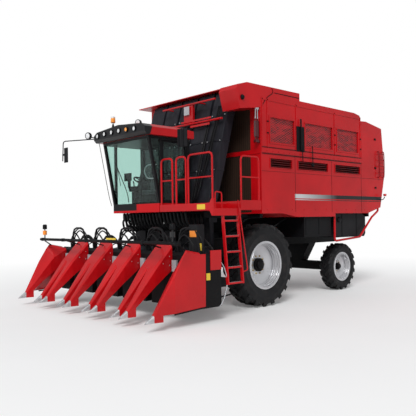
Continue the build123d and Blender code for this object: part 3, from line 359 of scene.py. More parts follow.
hose = Paint("hose_rubber", colour=(0.008, 0.008, 0.009), rough=0.42, specular=0.15)
hose.shade(colour=hose.blend(hose.noise(24.0), (0.005, 0.005, 0.006), (0.014, 0.014, 0.015)))
hose.bump(hose.noise(300.0, 2.0), 0.0004)
print("matt:", tyre.material.name, plastic.material.name, iron.material.name, hose.material.name)

# %% [markdown]
# ## Glass and bright metal
# The glass is faintly green and a little uneven. Picker drums are worn steel, brushed round by the
# crop. The lift cylinders are red barrels with plated rods, and one height divides the two.

# %% Clear and bright finishes
BARREL_TOP = 4.17

glass = Paint("tinted_glass", colour=(0.62, 0.80, 0.75), rough=0.02, clear=1.0, ior=1.25)
glass.shade(rough=glass.noise(3.0, 3.0) * 0.03 + 0.005)

steel = Paint("worn_steel", colour=(0.60, 0.60, 0.61), rough=0.3, metal=0.85)
worn = steel.noise(12.0, 5.0).ramp(0.35, 0.75)
steel.shade(colour=steel.blend(worn, (0.44, 0.44, 0.45), (0.74, 0.74, 0.75)),
            rough=steel.noise(30.0, 6.0, stretch=(1.0, 8.0, 8.0)) * 0.35 + 0.15)

chrome = Paint("chrome_rod", colour=(0.72, 0.72, 0.74), rough=0.12, metal=1.0)
barrel = chrome.place("z").below(BARREL_TOP)
chrome.shade(colour=chrome.blend(barrel, (0.70, 0.70, 0.72), (0.06, 0.004, 0.006)), metal=1.0 - barrel,
             rough=chrome.noise(50.0, 3.0, stretch=(20.0, 20.0, 1.0)) * 0.12 + 0.06)

brass = Paint("wheel_nut_plating", colour=(0.42, 0.30, 0.12), rough=0.35, metal=0.9)
brass.shade(rough=brass.noise(60.0, 4.0) * 0.3 + 0.2)
print("bright:", glass.material.name, steel.material.name, chrome.material.name, brass.material.name)

# %% [markdown]
# ## Lenses and cloth
# A lamp's lens is ribbed inside, which a sine in colour gives at this size. The seat's cloth is a
# plain weave: the product of two sines is high where warp and weft cross.

# %% Lenses, markers and the seat's cloth
LIT_BAND = (1.64, 1.745)


def ribbed(name, colour, rough, coat, axis, pitch, dark, light):
    """A lens whose ribs follow a sine along an axis, from dark to light."""
    paint = Paint(name, colour=colour, rough=rough, coat=coat)
    paint.shade(colour=paint.blend(paint.place(axis).wave(pitch).ramp(-1, 1), dark, light))
    return paint


amber = ribbed("amber_lens", (0.90, 0.30, 0.02), 0.18, 0.5, "z", 0.012,
               (0.70, 0.18, 0.01), (0.98, 0.42, 0.05))
lens = ribbed("lamp_lens", (0.78, 0.80, 0.80), 0.12, 0.6, "y", 0.016,
              (0.48, 0.49, 0.50), (0.92, 0.93, 0.93))
tail_lens = ribbed("tail_lens", (0.5, 0.01, 0.01), 0.2, 0.5, "z", 0.004 * math.pi,
                   (0.30, 0.005, 0.005), (0.60, 0.02, 0.02))

signal = sprayed("marker_paint", BLACK, 0.4)
lit_band = signal.place("z").between(*LIT_BAND) * signal.place("y").below(0.0)
signal.shade(colour=signal.blend(lit_band, signal.base, (0.85, 0.26, 0.02)))

cloth = Paint("seat_cloth", colour=(0.045, 0.047, 0.055), rough=0.9, sheen=0.3)
weave = cloth.place("y").wave(0.004) * cloth.place("z").wave(0.004)
cloth.shade(colour=cloth.blend(weave.ramp(-0.6, 0.6), (0.028, 0.029, 0.034), (0.075, 0.078, 0.088)))
cloth.bump(weave, 0.0006)
print(len(bpy.data.materials), "materials so far")

# %% [markdown]
# ## Dressing the CAD nodes
# The CAD pieces keep their meshes, and each only has its material changed. A table from finish to
# nodes shows at once what is painted alike.

# %% One finish for each node
FINISHES = [
    (red, "tail_frame rear_housing basket_nose basket_lid duct_frame deck handrails ladder hoods"
          " end_dividers"),
    (wall_paint, "side_walls"),
    (front_paint, "body_inner"),
    (basket_paint, "basket_walls"),
    (mesh, "mesh_panels"),
    (cab_paint, "cab_shell"),
    (roof_paint, "cab_roof"),
    (black, "front_axle rear_axle knuckle_left knuckle_right main_frame service_box side_linkage toolbar"
            " cabinets head_tubes lift_arms seat_frame cab_door front_hub_left front_hub_right rear_hub_left"
            " rear_hub_right"),
    (ducts_paint, "ducts duct_boots"),
    (plastic, "fuel_tank steering_column mirrors"),
    (vent_mesh, "vent_grilles"),
    (iron, "engine"),
    (silver, "front_rim_left front_rim_right rear_rim_left rear_rim_right"),
    (tyre, "front_tyre_left front_tyre_right rear_tyre_left rear_tyre_right"),
    (glass, "cab_glass door_glass"),
    (chrome, "basket_cylinders"),
    (steel, "picker_drums divider_points"),
    (grey, "throat_plates"),
    (lens, "lamps"),
    (signal, "marker_lamps"),
    (hose, "head_hoses"),
    (cloth, "seat_pads"),
]
dressed = [(paint, name) for paint, names in FINISHES for name in names.split()]
for paint, name in dressed:
    for slot in nodes[name].material_slots:
        slot.material = paint.material
print(len(dressed), "of", len(nodes), "nodes have a finish")

# %% [markdown]
# ## Making pieces
# Pieces could be primitives moved about. Here each is a surface of two parameters, worked out as
# whole arrays and placed in the mesh itself, so every object stays at the origin as the CAD nodes do.
# Three forms are enough for the whole machine.


# %% Meshes from arrays
def grid_faces(rows, columns, closed=True):
    """Corners of the quads of a grid of points; a closed grid joins its last column to its first."""
    row = np.arange(rows - 1)[:, None]
    column = np.arange(columns if closed else columns - 1)[None, :]
    first, second = row * columns + column, row * columns + (column + 1) % columns
    return np.stack([first, second, second + columns, first + columns], axis=-1).reshape(-1, 4)


def piece(name, shapes, paint, body, smooth=False, bevel=0.0):
    """One object from several (points, faces) shapes, in the machine's frame, riding on a body."""
    starts = np.cumsum([0] + [len(points) for points, _ in shapes])
    points = np.concatenate([points for points, _ in shapes])
    faces = [[int(corner) + int(start) for corner in face]
             for start, (_, loops) in zip(starts, shapes) for face in loops]
    data = bpy.data.meshes.new(name)
    data.from_pydata(points.tolist(), [], faces)
    data.materials.append(paint.material)
    data.polygons.foreach_set("use_smooth", [smooth] * len(faces))
    thing = bpy.data.objects.new(name, data)
    scene.collection.objects.link(thing)
    if bevel:
        rounding = thing.modifiers.new("edge", "BEVEL")
        rounding.width, rounding.segments, rounding.limit_method = bevel, 2, "ANGLE"
    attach(thing, body)
    print(f"{name}: {len(shapes)} forms, {len(faces)} faces, on {body}")
    return thing


# %% [markdown]
# Sheet, plates and bars are blocks. A bevel modifier rounds their edges so that they catch light.

# %% Blocks
CORNERS = np.array([(-1, -1, -1), (1, -1, -1), (1, 1, -1), (-1, 1, -1),
                    (-1, -1, 1), (1, -1, 1), (1, 1, 1), (-1, 1, 1)])
SIDES = [(0, 3, 2, 1), (4, 5, 6, 7), (0, 1, 5, 4), (1, 2, 6, 5), (2, 3, 7, 6), (3, 0, 4, 7)]


def blocks(name, boxes, paint, body, bevel=0.004):
    """Bevelled blocks in one object, each from its limits (x0, x1, y0, y1, z0, z1): a corner is the
    middle plus half the size times the corner's signs."""
    low, high = np.array(boxes, float)[:, 0::2], np.array(boxes, float)[:, 1::2]
    points = (low + high)[:, None] / 2 + np.abs(high - low)[:, None] / 2 * CORNERS
    return piece(name, [(block, SIDES) for block in points], paint, body, bevel=bevel)


def frame_of(x0, x1, z0, z1, y0, y1, width):
    """Four blocks round an opening in an upright wall."""
    left, right = x0 - width, x1 + width
    return [(left, right, y0, y1, z1, z1 + width), (left, right, y0, y1, z0 - width, z0),
            (left, x0, y0, y1, z0, z1), (x1, right, y0, y1, z0, z1)]


# %% [markdown]
# Hoses, rails and rods are a circle carried along a line that bends smoothly through a few knots. One
# steady direction keeps the circle from twisting.


# %% Tubes
def smooth_line(knots, steps=8):
    """A smooth line: each stretch is a cubic in t that leaves a knot at the slope between its neighbours."""
    knots = np.array(knots, float)
    knots = np.vstack([2 * knots[0] - knots[1], knots, 2 * knots[-1] - knots[-2]])
    a, b, c, d = (knots[k:len(knots) - 3 + k, None] for k in range(4))
    t = np.linspace(0, 1, steps, endpoint=False)[None, :, None]
    bend, twist = 2 * a - 5 * b + 4 * c - d, 3 * b - a - 3 * c + d
    line = 0.5 * (2 * b + (c - a) * t + bend * t ** 2 + twist * t ** 3)
    return np.vstack([line.reshape(-1, 3), knots[-2]])


def swept(line, radius, sides):
    """A round tube: point(s, turn) = line(s) + radius (cos turn x across(s) + sin turn x other(s))."""
    tangent = np.gradient(line, axis=0)
    tangent /= np.linalg.norm(tangent, axis=1)[:, None]
    steady = np.linalg.svd(line - line.mean(axis=0))[2][2]
    across = np.cross(steady, tangent)
    across /= np.linalg.norm(across, axis=1)[:, None]
    other = np.cross(tangent, across)
    turn = (np.arange(sides) * 2 * math.pi / sides)[None, :, None]
    points = line[:, None] + radius * (np.cos(turn) * across[:, None] + np.sin(turn) * other[:, None])
    last = (len(line) - 1) * sides
    caps = [range(sides - 1, -1, -1), range(last, last + sides)]
    return points.reshape(-1, 3), [*grid_faces(len(line), sides), *caps]


def tubes(name, lines, radius, paint, body, sides=8, steps=8):
    """Several round tubes in one object, each bent smoothly through its own knots."""
    shapes = [swept(smooth_line(line, steps), radius, sides) for line in lines]
    return piece(name, shapes, paint, body, smooth=True)


# %% [markdown]
# Caps, lamps, drums and nuts are a profile turned about an axis. A hexagon nut is the same form with
# six sides and flat shading.


# %% Turned forms
def turned(name, profile, places, axis, paint, body, sides=24, smooth=True):
    """A profile turned about an axis: point(h, turn) = place + r(h) (cos turn, sin turn) + h along the axis.
    A profile that ends where it starts makes a ring; any other is capped at both ends."""
    square_to = np.array(Vector(axis).normalized().to_track_quat("Z", "Y").to_matrix())
    radius, height = np.array(profile, float).T[:, :, None]
    turn = (np.arange(sides) * 2 * math.pi / sides)[None, :]
    local = np.stack([radius * np.cos(turn), radius * np.sin(turn), height + 0 * turn], axis=-1)
    local = local.reshape(-1, 3)
    last = (len(profile) - 1) * sides
    if profile[0] == profile[-1]:
        local = local[:last]
        faces = grid_faces(len(profile), sides) % last
    else:
        faces = [*grid_faces(len(profile), sides), range(sides - 1, -1, -1), range(last, last + sides)]
    shapes = [(np.array(place) + local @ square_to.T, faces) for place in places]
    return piece(name, shapes, paint, body, smooth)


def nuts(name, places, axis, radius, paint, body, height=None):
    """Hexagon heads: six sides, a chamfer and a flat top."""
    height = height or radius * 0.75
    profile = [(radius, -0.002), (radius, 0.75 * height), (0.82 * radius, height)]
    return turned(name, profile, places, axis, paint, body, 6, smooth=False)


# %% [markdown]
# ## Basket
# The basket's windows have pressed frames, and its walls ribs, clips and a bolted ledge. They could
# be a bump map, but an edge that catches light must stand out from the sheet, so each is a thin block.

# %% Basket windows, ribs, painted shadow lines and clips
HANDS = (("left", 1), ("right", -1))
SIDE = 1.95
SHEET = 0.012
WINDOWS = ((-0.35, 0.52), (-1.91, -0.78), (-3.12, -2.13))
RIBS = (0.79, 0.61, -0.43, -2.02, -3.23)
CLIPS = ((0.61, 4.12), (0.61, 3.86), (-2.02, 4.05), (-2.02, 3.80), (-3.23, 4.05), (-3.23, 3.78))
BASKET_REAR, BASKET_FRONT = -3.25, 0.82


def strip(sign, height, sunk=0.0):
    """The two y limits of a strip on a side wall: sunk into its sheet, and standing out by its height."""
    return sorted((sign * (SIDE - sunk), sign * (SIDE + height)))


for word, sign in HANDS:
    face = strip(sign, SHEET)
    frames = [box for x0, x1 in WINDOWS for box in frame_of(x0, x1, 3.68, 4.24, *face, 0.035)]
    blocks(f"window_frames_{word}", frames, red, "basket", 0.003)
    ribs = [(x - 0.018, x + 0.018, *face, 3.54, 4.66) for x in RIBS]
    blocks(f"basket_ribs_{word}", [*ribs, (BASKET_REAR, BASKET_FRONT, *face, 4.60, 4.64)], red, "basket")
    # Black strips painted as shadow: along the basket's lower edge, below the ledge, and under the front
    # rim.
    shadow_strips = [(BASKET_REAR, BASKET_FRONT - 0.01, *strip(sign, 0.014), z, z + 0.012) for z in (3.548, 3.402)]
    shadow_strips.append((-0.55, 0.36, *strip(sign, 0.008), 4.800, 4.814))
    blocks(f"basket_shadow_gaps_{word}", shadow_strips, black, "basket", 0.001)
    clips = [(x - 0.022, x + 0.022, *strip(sign, 0.026), z, z + 0.028) for x, z in CLIPS]
    blocks(f"basket_clips_{word}", clips, black, "basket")
    ledge = [(x, sign * (SIDE + 0.014), 3.47) for x in np.arange(-3.15, 0.8, 0.2)]
    nuts(f"ledge_bolts_{word}", ledge, (0, sign, 0), 0.013, red, "basket")

# %% [markdown]
# ## Body walls, lid and linkage
# The fixed walls have framed vents, panel seams and a row of bolts. The lid and the front roof have
# cross ribs, and the basket's latch two thin rods and a knob. A seam could be a groove, but a dark
# strip reads alike.

# %% Vents, seams, ribs and latch rods
VENTS = ((-0.25, 0.53), (-1.70, -0.49), (-3.19, -2.02))
SEAMS = (-0.37, -1.86, -3.25)
for word, sign in HANDS:
    frames = [box for x0, x1 in VENTS for box in frame_of(x0, x1, 3.11, 3.31, *strip(sign, SHEET), 0.02)]
    blocks(f"vent_frames_{word}", frames, red, "machine", 0.003)
    flush = strip(sign, 0.003, sunk=0.002)
    seams = [(x - 0.004, x + 0.004, *flush, 2.10, 3.39) for x in SEAMS]
    blocks(f"wall_seams_{word}", [*seams, (-4.40, 0.83, *flush, 3.015, 3.021)], black, "machine", 0.001)
    sill_bolts = [(x, sign * SIDE, 2.16) for x in np.arange(-3.4, 0.75, 0.45)]
    nuts(f"wall_bolts_{word}", sill_bolts, (0, sign, 0), 0.014, red, "machine")

lid_bars = [(x - 0.02, x + 0.02, -1.90, 1.90, 4.745, 4.760) for x in np.arange(-2.8, -0.7, 0.5)]
blocks("lid_ribs", lid_bars, red, "lid", 0.005)
roof_bars = [(x - 0.02, x + 0.02, -1.90, 1.90, 4.919, 4.925) for x in (-0.4, 0.1, 0.6)]
blocks("front_roof_ribs", roof_bars, red, "basket", 0.002)

rods = [[(-0.62, 1.985, 3.66), (-0.62, 1.99, 3.50), (-0.63, 1.985, 3.30)],
        [(-1.02, 1.985, 3.70), (-1.02, 1.99, 3.50), (-1.03, 1.985, 3.26)]]
tubes("linkage_rods", rods, 0.010, black, "basket")
knob = [(0.035, 0.0), (0.045, 0.012), (0.045, 0.035), (0.030, 0.045)]
turned("linkage_knob", knob, [(-1.03, 1.96, 3.24)], (0, 1, 0), black, "basket", 20)
nose_line = [(0.44, 1.957, 4.905), (0.42, 1.957, 4.80), (0.62, 1.957, 4.66), (0.80, 1.957, 4.46)]
tubes("nose_seam", [nose_line], 0.006, black, "basket", 6)

# %% [markdown]
# ## Rear housing
# The back isn't in the photograph. Machines of this kind have a slatted grille there, lamps, and steps
# up to the engine. Slats could be cut by a modifier; separate blocks are lighter and stay crisp.

# %% Grille, lamps, steps and latches
slats = [(-4.455, -4.365, -1.5, 1.52, z, z + 0.018) for z in np.arange(2.75, 3.97, 0.06)]
blocks("rear_grille", slats, plastic, "machine", 0.002)
tail_places = [(-4.44, sign * (1.70 + 0.14 * k), 2.98) for sign in (-1, 1) for k in range(2)]
tail_profile = [(0.0, 0.0), (0.055, 0.0), (0.055, 0.018), (0.045, 0.026)]
turned("tail_lamps", tail_profile, tail_places, (-1, 0, -0.1), tail_lens, "machine", 20)

STEP_RAILS, STEP_OUT = (-4.10, -4.36), SIDE + 0.06
rails = [[(x, SIDE - 0.005, 3.08), (x, STEP_OUT, 3.12), (x, STEP_OUT, 3.74), (x, SIDE - 0.005, 3.78)]
         for x in STEP_RAILS]
rungs = [[(x, STEP_OUT, z) for x in (STEP_RAILS[0], sum(STEP_RAILS) / 2, STEP_RAILS[1])]
         for z in (3.20, 3.38, 3.56, 3.72)]
tubes("rear_rungs", rails + rungs, 0.013, deep_red, "machine", steps=5)
stalk = [(-4.20, SIDE - 0.01, 2.44), (-4.24, 2.03, 2.45), (-4.25, 2.08, 2.52)]
tubes("tail_lamp_stalk", [stalk], 0.011, black, "machine")
side_profile = [(0.0, -0.04), (0.04, -0.04), (0.045, 0.02), (0.0, 0.03)]
turned("side_lamps", side_profile, [(-4.25, 2.085, 2.58)], (0, 0, 1), tail_lens, "machine", 20)
latches = [(-4.02, -3.94, SIDE, SIDE + 0.018, z, z + 0.05) for z in (2.75, 3.30, 4.10)]
blocks("tail_latches", latches, black, "machine")

# %% [markdown]
# ## Wheels
# Each wheel has a ring of nuts, a stepped rim and a hub cap. The ring could be an array about an
# empty; here a sine and cosine give its places, so the object stays at the origin. Tread lugs are in
# the CAD because the tyres stand on them.

# %% Nuts, rim steps and hub caps
CAP_OUT, STEP_SUNK, NUT_HIGH = 0.102, 0.006, 0.028
# end, axle x, axle z, middle y, hub face y, nut circle, nuts, nut radius, cap radius, rim steps (radius, y)
WHEELS = (
    ("front", 0.726, 0.92, 1.725, 1.690, 0.200, 10, 0.021, 0.105,
     ((0.497, 0.218), (0.478, 0.180), (0.457, 0.118), (0.454, 0.060))),
    ("rear", -2.934, 0.631, 1.370, 1.326, 0.135, 8, 0.015, 0.066,
     ((0.350, 0.142), (0.336, 0.100), (0.312, 0.052), (0.309, 0.020))),
)
for word, sign in HANDS:
    for end, x, z, middle, face, circle, count, nut, cap, steps in WHEELS:
        body, out = f"{end}_wheel_{word}", (0, sign, 0)
        turns = [2 * math.pi * k / count for k in range(count)]
        ring = [(x + circle * math.cos(turn), sign * face, z + circle * math.sin(turn)) for turn in turns]
        nuts(f"{end}_wheel_nuts_{word}", ring, out, nut, brass, body, NUT_HIGH)
        for place, (radius, y) in enumerate(steps):
            outer, inner = radius + 0.004, radius - 0.016
            loop = [(outer, 0.0), (outer, 0.022), (inner, 0.018), (inner, 0.004), (outer, 0.0)]
            middle_of_step = (x, sign * (middle + y - STEP_SUNK), z)
            turned(f"{end}_rim_step_{place}_{word}", loop, [middle_of_step], out, silver, body, 48)
        dome = [(cap, -0.01), (cap, 0.008), (cap * 0.8, 0.02), (cap * 0.3, 0.024)]
        turned(f"{end}_hub_cap_{word}", dome, [(x, sign * (face + CAP_OUT), z)], out, black, body, 32)

# %% [markdown]
# ## Cab roof
# The roof's lamps sit in bezels, and a beacon and an aerial stand above them. All are turned forms:
# the thickness of its ring is what makes a flat lens a lamp.

# %% Roof lamps and beacon
ROOF_LAMPS = ((-0.80, 3.880), (-0.52, 3.895), (-0.24, 3.900), (0.04, 3.900), (0.32, 3.890), (0.60, 3.880))
BEZEL = [(0.046, 0.0), (0.060, 0.0), (0.060, 0.018), (0.048, 0.026), (0.046, 0.014), (0.046, 0.0)]
FORWARD, UPWARD, LEFTWARD = (1, 0, 0), (0, 0, 1), (0, 1, 0)
for y, z in ROOF_LAMPS:
    turned(f"roof_bezel_{int((y + 1) * 100)}", BEZEL, [(3.295, y, z)], FORWARD, black, "machine", 28)
button = [(0.0, 0.0), (0.040, 0.0), (0.040, 0.016), (0.030, 0.022)]
turned("amber_lamp", button, [(3.306, 0.32, 3.890)], FORWARD, amber, "machine")
dome = [(0.052, 0.0), (0.055, 0.02), (0.052, 0.10), (0.040, 0.135), (0.015, 0.145)]
turned("beacon", dome, [(2.875, -0.80, 4.230)], UPWARD, amber, "machine", 28)
foot = [(0.060, 0.0), (0.060, 0.012), (0.030, 0.030), (0.018, 0.10)]
turned("beacon_foot", foot, [(2.875, -0.80, 4.10)], UPWARD, black, "machine")
aerial = [(0.035, 0.0), (0.030, 0.03), (0.012, 0.045), (0.006, 0.10)]
turned("roof_antenna", aerial, [(2.875, -0.23, 4.008)], UPWARD, plastic, "machine", 16)

# %% Corner lamps on their stalks
CORNER_LAMPS, CORNER_LOOK = [(3.30, -1.16, 3.93), (2.30, -0.57, 4.26)], (1, 0.2, -0.1)
shell = [(0.03, -0.05), (0.075, -0.02), (0.085, 0.03), (0.080, 0.05), (0.070, 0.045)]
turned("corner_lamps", shell, CORNER_LAMPS, CORNER_LOOK, plastic, "machine")
cover = [(0.072, 0.046), (0.05, 0.055), (0.01, 0.058)]
turned("corner_lenses", cover, CORNER_LAMPS, CORNER_LOOK, lens, "machine")
stalks = [[(3.20, -0.90, 3.85), (3.22, -1.02, 3.87), (3.28, -1.15, 3.91)],
          [(2.28, -0.57, 3.95), (2.28, -0.57, 4.10), (2.29, -0.57, 4.24)]]
tubes("lamp_stalks", stalks, 0.012, black, "machine")

# %% [markdown]
# ## Windscreen and controls
# Glass needs something behind it, or the cab looks empty: a console, a screen, a stick and pedals,
# as plain bevelled boxes, since only their outlines show. The wiper, a grab handle and a rod from the
# roof to the floor lie in front of it.

# %% Outside the glass
arm = [(2.885, -0.20, 2.36), (2.93, -0.22, 2.62), (3.03, -0.42, 3.14)]
tubes("wiper", [arm], 0.009, black, "machine")
blade = [(2.960, -0.40, 2.74), (3.03, -0.42, 3.14), (3.09, -0.44, 3.46)]
tubes("wiper_blade", [blade], 0.007, hose, "machine", 6)
handle = [(2.90, 0.82, 3.13), (2.90, 0.52, 3.13), (2.90, 0.42, 3.02), (2.90, 0.52, 2.87), (2.90, 0.82, 2.84)]
tubes("grab_handle", [handle], 0.014, grey, "machine", 10)
roof_rod = [(3.275, -0.78, 3.74), (3.13, -0.815, 3.15), (2.975, -0.86, 2.55), (2.90, -0.86, 2.30)]
tubes("roof_rod", [roof_rod], 0.007, black, "machine", 6)
blocks("door_latch", [(2.64, 2.74, 0.85, 0.875, 2.93, 2.96)], black, "door", 0.006)

# %% Behind the glass
console = [(2.30, 2.66, -0.52, -0.27, 2.62, 2.74), (2.42, 2.62, -0.46, -0.33, 2.19, 2.62)]
blocks("console", console, plastic, "machine", 0.02)
blocks("screen_box", [(2.72, 2.75, -0.56, -0.30, 2.86, 3.04)], plastic, "machine", 0.008)
blocks("screen_post", [(2.66, 2.73, -0.45, -0.42, 2.70, 2.92)], plastic, "machine", 0.005)
blocks("pedals", [(2.70, 2.78, y, y + 0.07, 2.19, 2.31) for y in (0.13, 0.26)], black, "machine", 0.006)
stick = [(2.60, -0.38, 2.74), (2.605, -0.38, 2.80), (2.62, -0.38, 2.86)]
tubes("joystick", [stick], 0.014, plastic, "machine")

# %% [markdown]
# ## Seat
# A cushion is foam in a sewn cover: crowned, pulled in between its corners, with channels where the
# cover is stitched down. A bevelled block looks hard. So the pad is a surface with those terms in its
# height, and a short cloth simulation under pressure then swells it.


# %% Swelling a pad
def settle(thing):
    """Apply the modifiers by taking the evaluated mesh."""
    bpy.context.view_layer.update()
    ready = thing.evaluated_get(bpy.context.evaluated_depsgraph_get())
    finished = bpy.data.meshes.new_from_object(ready)
    thing.modifiers.clear()
    thing.data = finished


def corners_of(thing):
    return np.array([vertex.co for vertex in thing.data.vertices])


def stuffed(thing, pressure=4.0, cap=0.012, voxel=0.006, frames=20):
    """Swell a pad as cloth under pressure for some frames; no point moves further than the cap."""
    remesh = thing.modifiers.new("even", "REMESH")
    remesh.mode, remesh.voxel_size = "VOXEL", voxel
    settle(thing)
    before = corners_of(thing)
    swelling = thing.modifiers.new("cloth", "CLOTH").settings
    swelling.use_pressure = True
    swelling.uniform_pressure_force = pressure
    swelling.effector_weights.gravity = 0.0
    for step in range(1, frames + 1):
        scene.frame_set(step)
    settle(thing)
    moved = corners_of(thing) - before
    far = np.linalg.norm(moved, axis=1)[:, None]
    after = before + moved * np.minimum(1.0, cap / np.maximum(far, 1e-9))
    thing.data.vertices.foreach_set("co", after.ravel())
    thing.data.polygons.foreach_set("use_smooth", [True] * len(thing.data.polygons))
    scene.frame_set(1)
    print(f"{thing.name}: swelled by up to {1000 * min(cap, far.max()):.1f} mm")


# %% The pads
GRID = 25
EDGE_DROP, PULL_IN, CHANNEL_DEEP, CHANNEL_WIDE = 0.62, 0.05, 0.12, 0.06


def cushion(name, low, high, thin, channels):
    """A stuffed pad over u, v in -1..1, with e the greater of |u| and |v|. Its faces stand at
    1 - EDGE_DROP e^6 of its half thickness, and each channel c presses a groove of CHANNEL_DEEP
    exp(-((v - c) / CHANNEL_WIDE)^2) (1 - e^4) into them. The corners pull in by PULL_IN (u v)^2."""
    u, v = np.meshgrid(np.linspace(-1, 1, GRID), np.linspace(-1, 1, GRID), indexing="ij")
    low, high = np.array(low), np.array(high)
    edge = np.maximum(np.abs(u), np.abs(v))
    groove = CHANNEL_DEEP * sum(np.exp(-((v - c) / CHANNEL_WIDE) ** 2) for c in channels) * (1 - edge ** 4)
    height = 1 - EDGE_DROP * edge ** 6 - groove
    pull = 1 - PULL_IN * (u * v) ** 2
    wide = [axis for axis in range(3) if axis != thin]
    sheets = []
    for side in (-1, 1):
        local = np.zeros((GRID, GRID, 3))
        local[..., wide[0]], local[..., wide[1]], local[..., thin] = u * pull, v * pull, side * height
        sheets.append(((low + high) / 2 + local * (high - low) / 2).reshape(-1, 3))
    quads = grid_faces(GRID, GRID, closed=False)
    index = np.arange(GRID * GRID).reshape(GRID, GRID)
    rim = np.concatenate([index[:-1, 0], index[-1, :-1], index[:0:-1, -1], index[0, :0:-1]])
    following, other = np.roll(rim, -1), GRID * GRID
    wall = np.stack([rim, following, following + other, rim + other], axis=-1)
    faces = [*quads[:, ::-1], *(quads + other), *wall]
    pad = piece(name, [(np.concatenate(sheets), faces)], cloth, "machine", smooth=True)
    stuffed(pad)
    softer = pad.modifiers.new("round", "SUBSURF")
    softer.levels = softer.render_levels = 1
    return pad


seat = cushion("seat_cushion", (2.30, -0.235, 2.545), (2.61, 0.235, 2.625), 2, (-0.5, 0.0, 0.5))
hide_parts("seat_pads")
rest = cushion("seat_backrest", (2.222, -0.22, 2.56), (2.276, 0.22, 3.126), 0, (-0.4, 0.0, 0.4))

# %% [markdown]
# ## Ducts and the frame across them
# Flanged joints, clips and hydraulic lines break up the long charcoal faces. They lie on the ducts'
# slanting front, so one function gives its x at each height, and each takes its place from that.

# %% Flanges and clips
DUCTS = [(k - 2) * 0.572 for k in range(5)]
FACE_X, FACE_Z = (1.925, 1.925, 1.690, 1.330, 1.235), (1.70, 2.33, 3.04, 4.30, 4.64)
JOINTS = (3.04, 3.70, 4.30)


def duct_face(z):
    """x of the ducts' front face at a height."""
    return float(np.interp(z, FACE_Z, FACE_X))


flanges = [(duct_face(z) - 0.245, duct_face(z) + 0.012, y - 0.256, y + 0.256, z - 0.016, z + 0.016)
           for y in DUCTS for z in (2.20, *JOINTS)]
blocks("duct_flanges", flanges, ducts_paint, "machine", 0.003)
clips = [(duct_face(z) + 0.012, y + shift, z) for y in DUCTS for z in JOINTS for shift in (-0.2, 0.2)]
nuts("duct_clips", clips, (1, 0, 0.3), 0.016, steel, "machine")

# %% Lines down the ducts, and fittings on the frame
PAIRS, HEIGHTS = (-0.86, -0.286, 0.286, 0.86), (4.15, 3.7, 3.2, 2.6, 2.16)
lines = [[(duct_face(z) + 0.03, y + shift + 0.01 * math.sin(z * 5), z) for z in HEIGHTS]
         for y in PAIRS for shift in (-0.03, 0.03)]
tubes("duct_hoses", lines, 0.014, hose, "machine")
feeds = [[(duct_face(4.5) + 0.09, top, 4.50), (duct_face(3.6) + 0.075, middle, 3.60), (x, low, 2.30)]
         for top, middle, low, x in ((1.18, 1.10, 0.98, 2.02), (1.23, 1.17, 1.08, 2.04))]
tubes("cylinder_rods", feeds, 0.018, black, "machine", 10, 6)
blocks("frame_plate", [(1.475, 1.487, 0.12, 0.30, 4.42, 4.62)], grey, "machine", 0.003)
flats = [(1.49, 1.50, 0.02, 1.05, 4.235, 4.275), (1.49, 1.50, 0.35, 1.0, 4.10, 4.15)]
blocks("frame_flats", flats, red, "machine", 0.003)
boss = [(0.055, 0.0), (0.055, 0.02), (0.03, 0.05), (0.01, 0.055)]
turned("nose_fitting", boss, [(1.43, 1.95, 4.566)], LEFTWARD, black, "basket")

# %% [markdown]
# ## Hoses on the head
# Hoses arch over the row units, and a bundle hangs below the cab floor. A simulation would settle
# loose hoses, but these are short and stiff between fixed ends, so each is a line through a few
# chosen points, repeated for every row.

# %% Arched and crossing lines
ROWS = [(k - 2) * 1.016 for k in range(5)]
HOODS = [(k - 1.5) * 1.016 for k in range(4)]
ARCH_FOOT = 1.30
# top z, reach to each side, x
ARCHES = ((1.72, 0.30, 3.00), (1.66, 0.24, 3.15), (1.60, 0.20, 2.93), (1.78, 0.34, 3.06))
arches = []
for row in ROWS:
    for k, (lift, reach, x) in enumerate(ARCHES):
        middle, shoulder = row + 0.03 * (k - 1.5), reach * 0.85
        arches.append([(x, middle - reach, ARCH_FOOT), (x + 0.02, middle - shoulder, lift - 0.16),
                       (x + 0.03, middle, lift), (x + 0.02, middle + shoulder, lift - 0.16),
                       (x, middle + reach, ARCH_FOOT)])
tubes("head_lines", arches, 0.016, hose, "head")
crossing = [[(2.84 + 0.03 * k, row - 0.46 + 0.05 * k, ARCH_FOOT), (2.86, row - 0.36, 1.46),
             (2.88, row + 0.04 * k, 1.56 + 0.025 * k), (2.86, row + 0.36, 1.44),
             (2.84, row + 0.44 - 0.05 * k, ARCH_FOOT)] for row in ROWS for k in range(3)]
tubes("head_cross_lines", crossing, 0.018, hose, "head")


# %% Lines below the cab, and returns
def copies(line, offsets):
    """The same line again at each offset in y."""
    return [[(x, y + offset, z) for x, y, z in line] for offset in offsets]


sagging = [(2.16, 0, 2.06), (2.20, 0.02, 1.84), (2.38, 0.05, 1.74), (2.56, 0.03, 1.86), (2.62, 0, 2.125)]
looping = [(2.15, 0, 2.02), (2.22, 0, 1.90), (2.16, 0.02, 1.70), (2.02, 0.02, 1.80), (1.93, 0.02, 2.0)]
bundle = copies(sagging, np.arange(-0.76, 1.40, 0.12)) + copies(looping, (-1.38, -1.24, -1.10, -0.96))
tubes("floor_lines", bundle, 0.026, hose, "machine", 10)
drop = [(3.0, 0.2, 1.34), (2.86, 0.3, 1.42), (2.70, 0.36, 1.10), (2.66, 0.34, 0.80)]
tubes("head_returns", copies(drop, ROWS), 0.012, hose, "head")

# %% [markdown]
# ## Hoods, drums and bars of the head
# The hoods and end dividers are bolted sheet. Every drum shows its rings of spindles: thousands of
# spindles would be far too many faces, so each ring is one turned band.

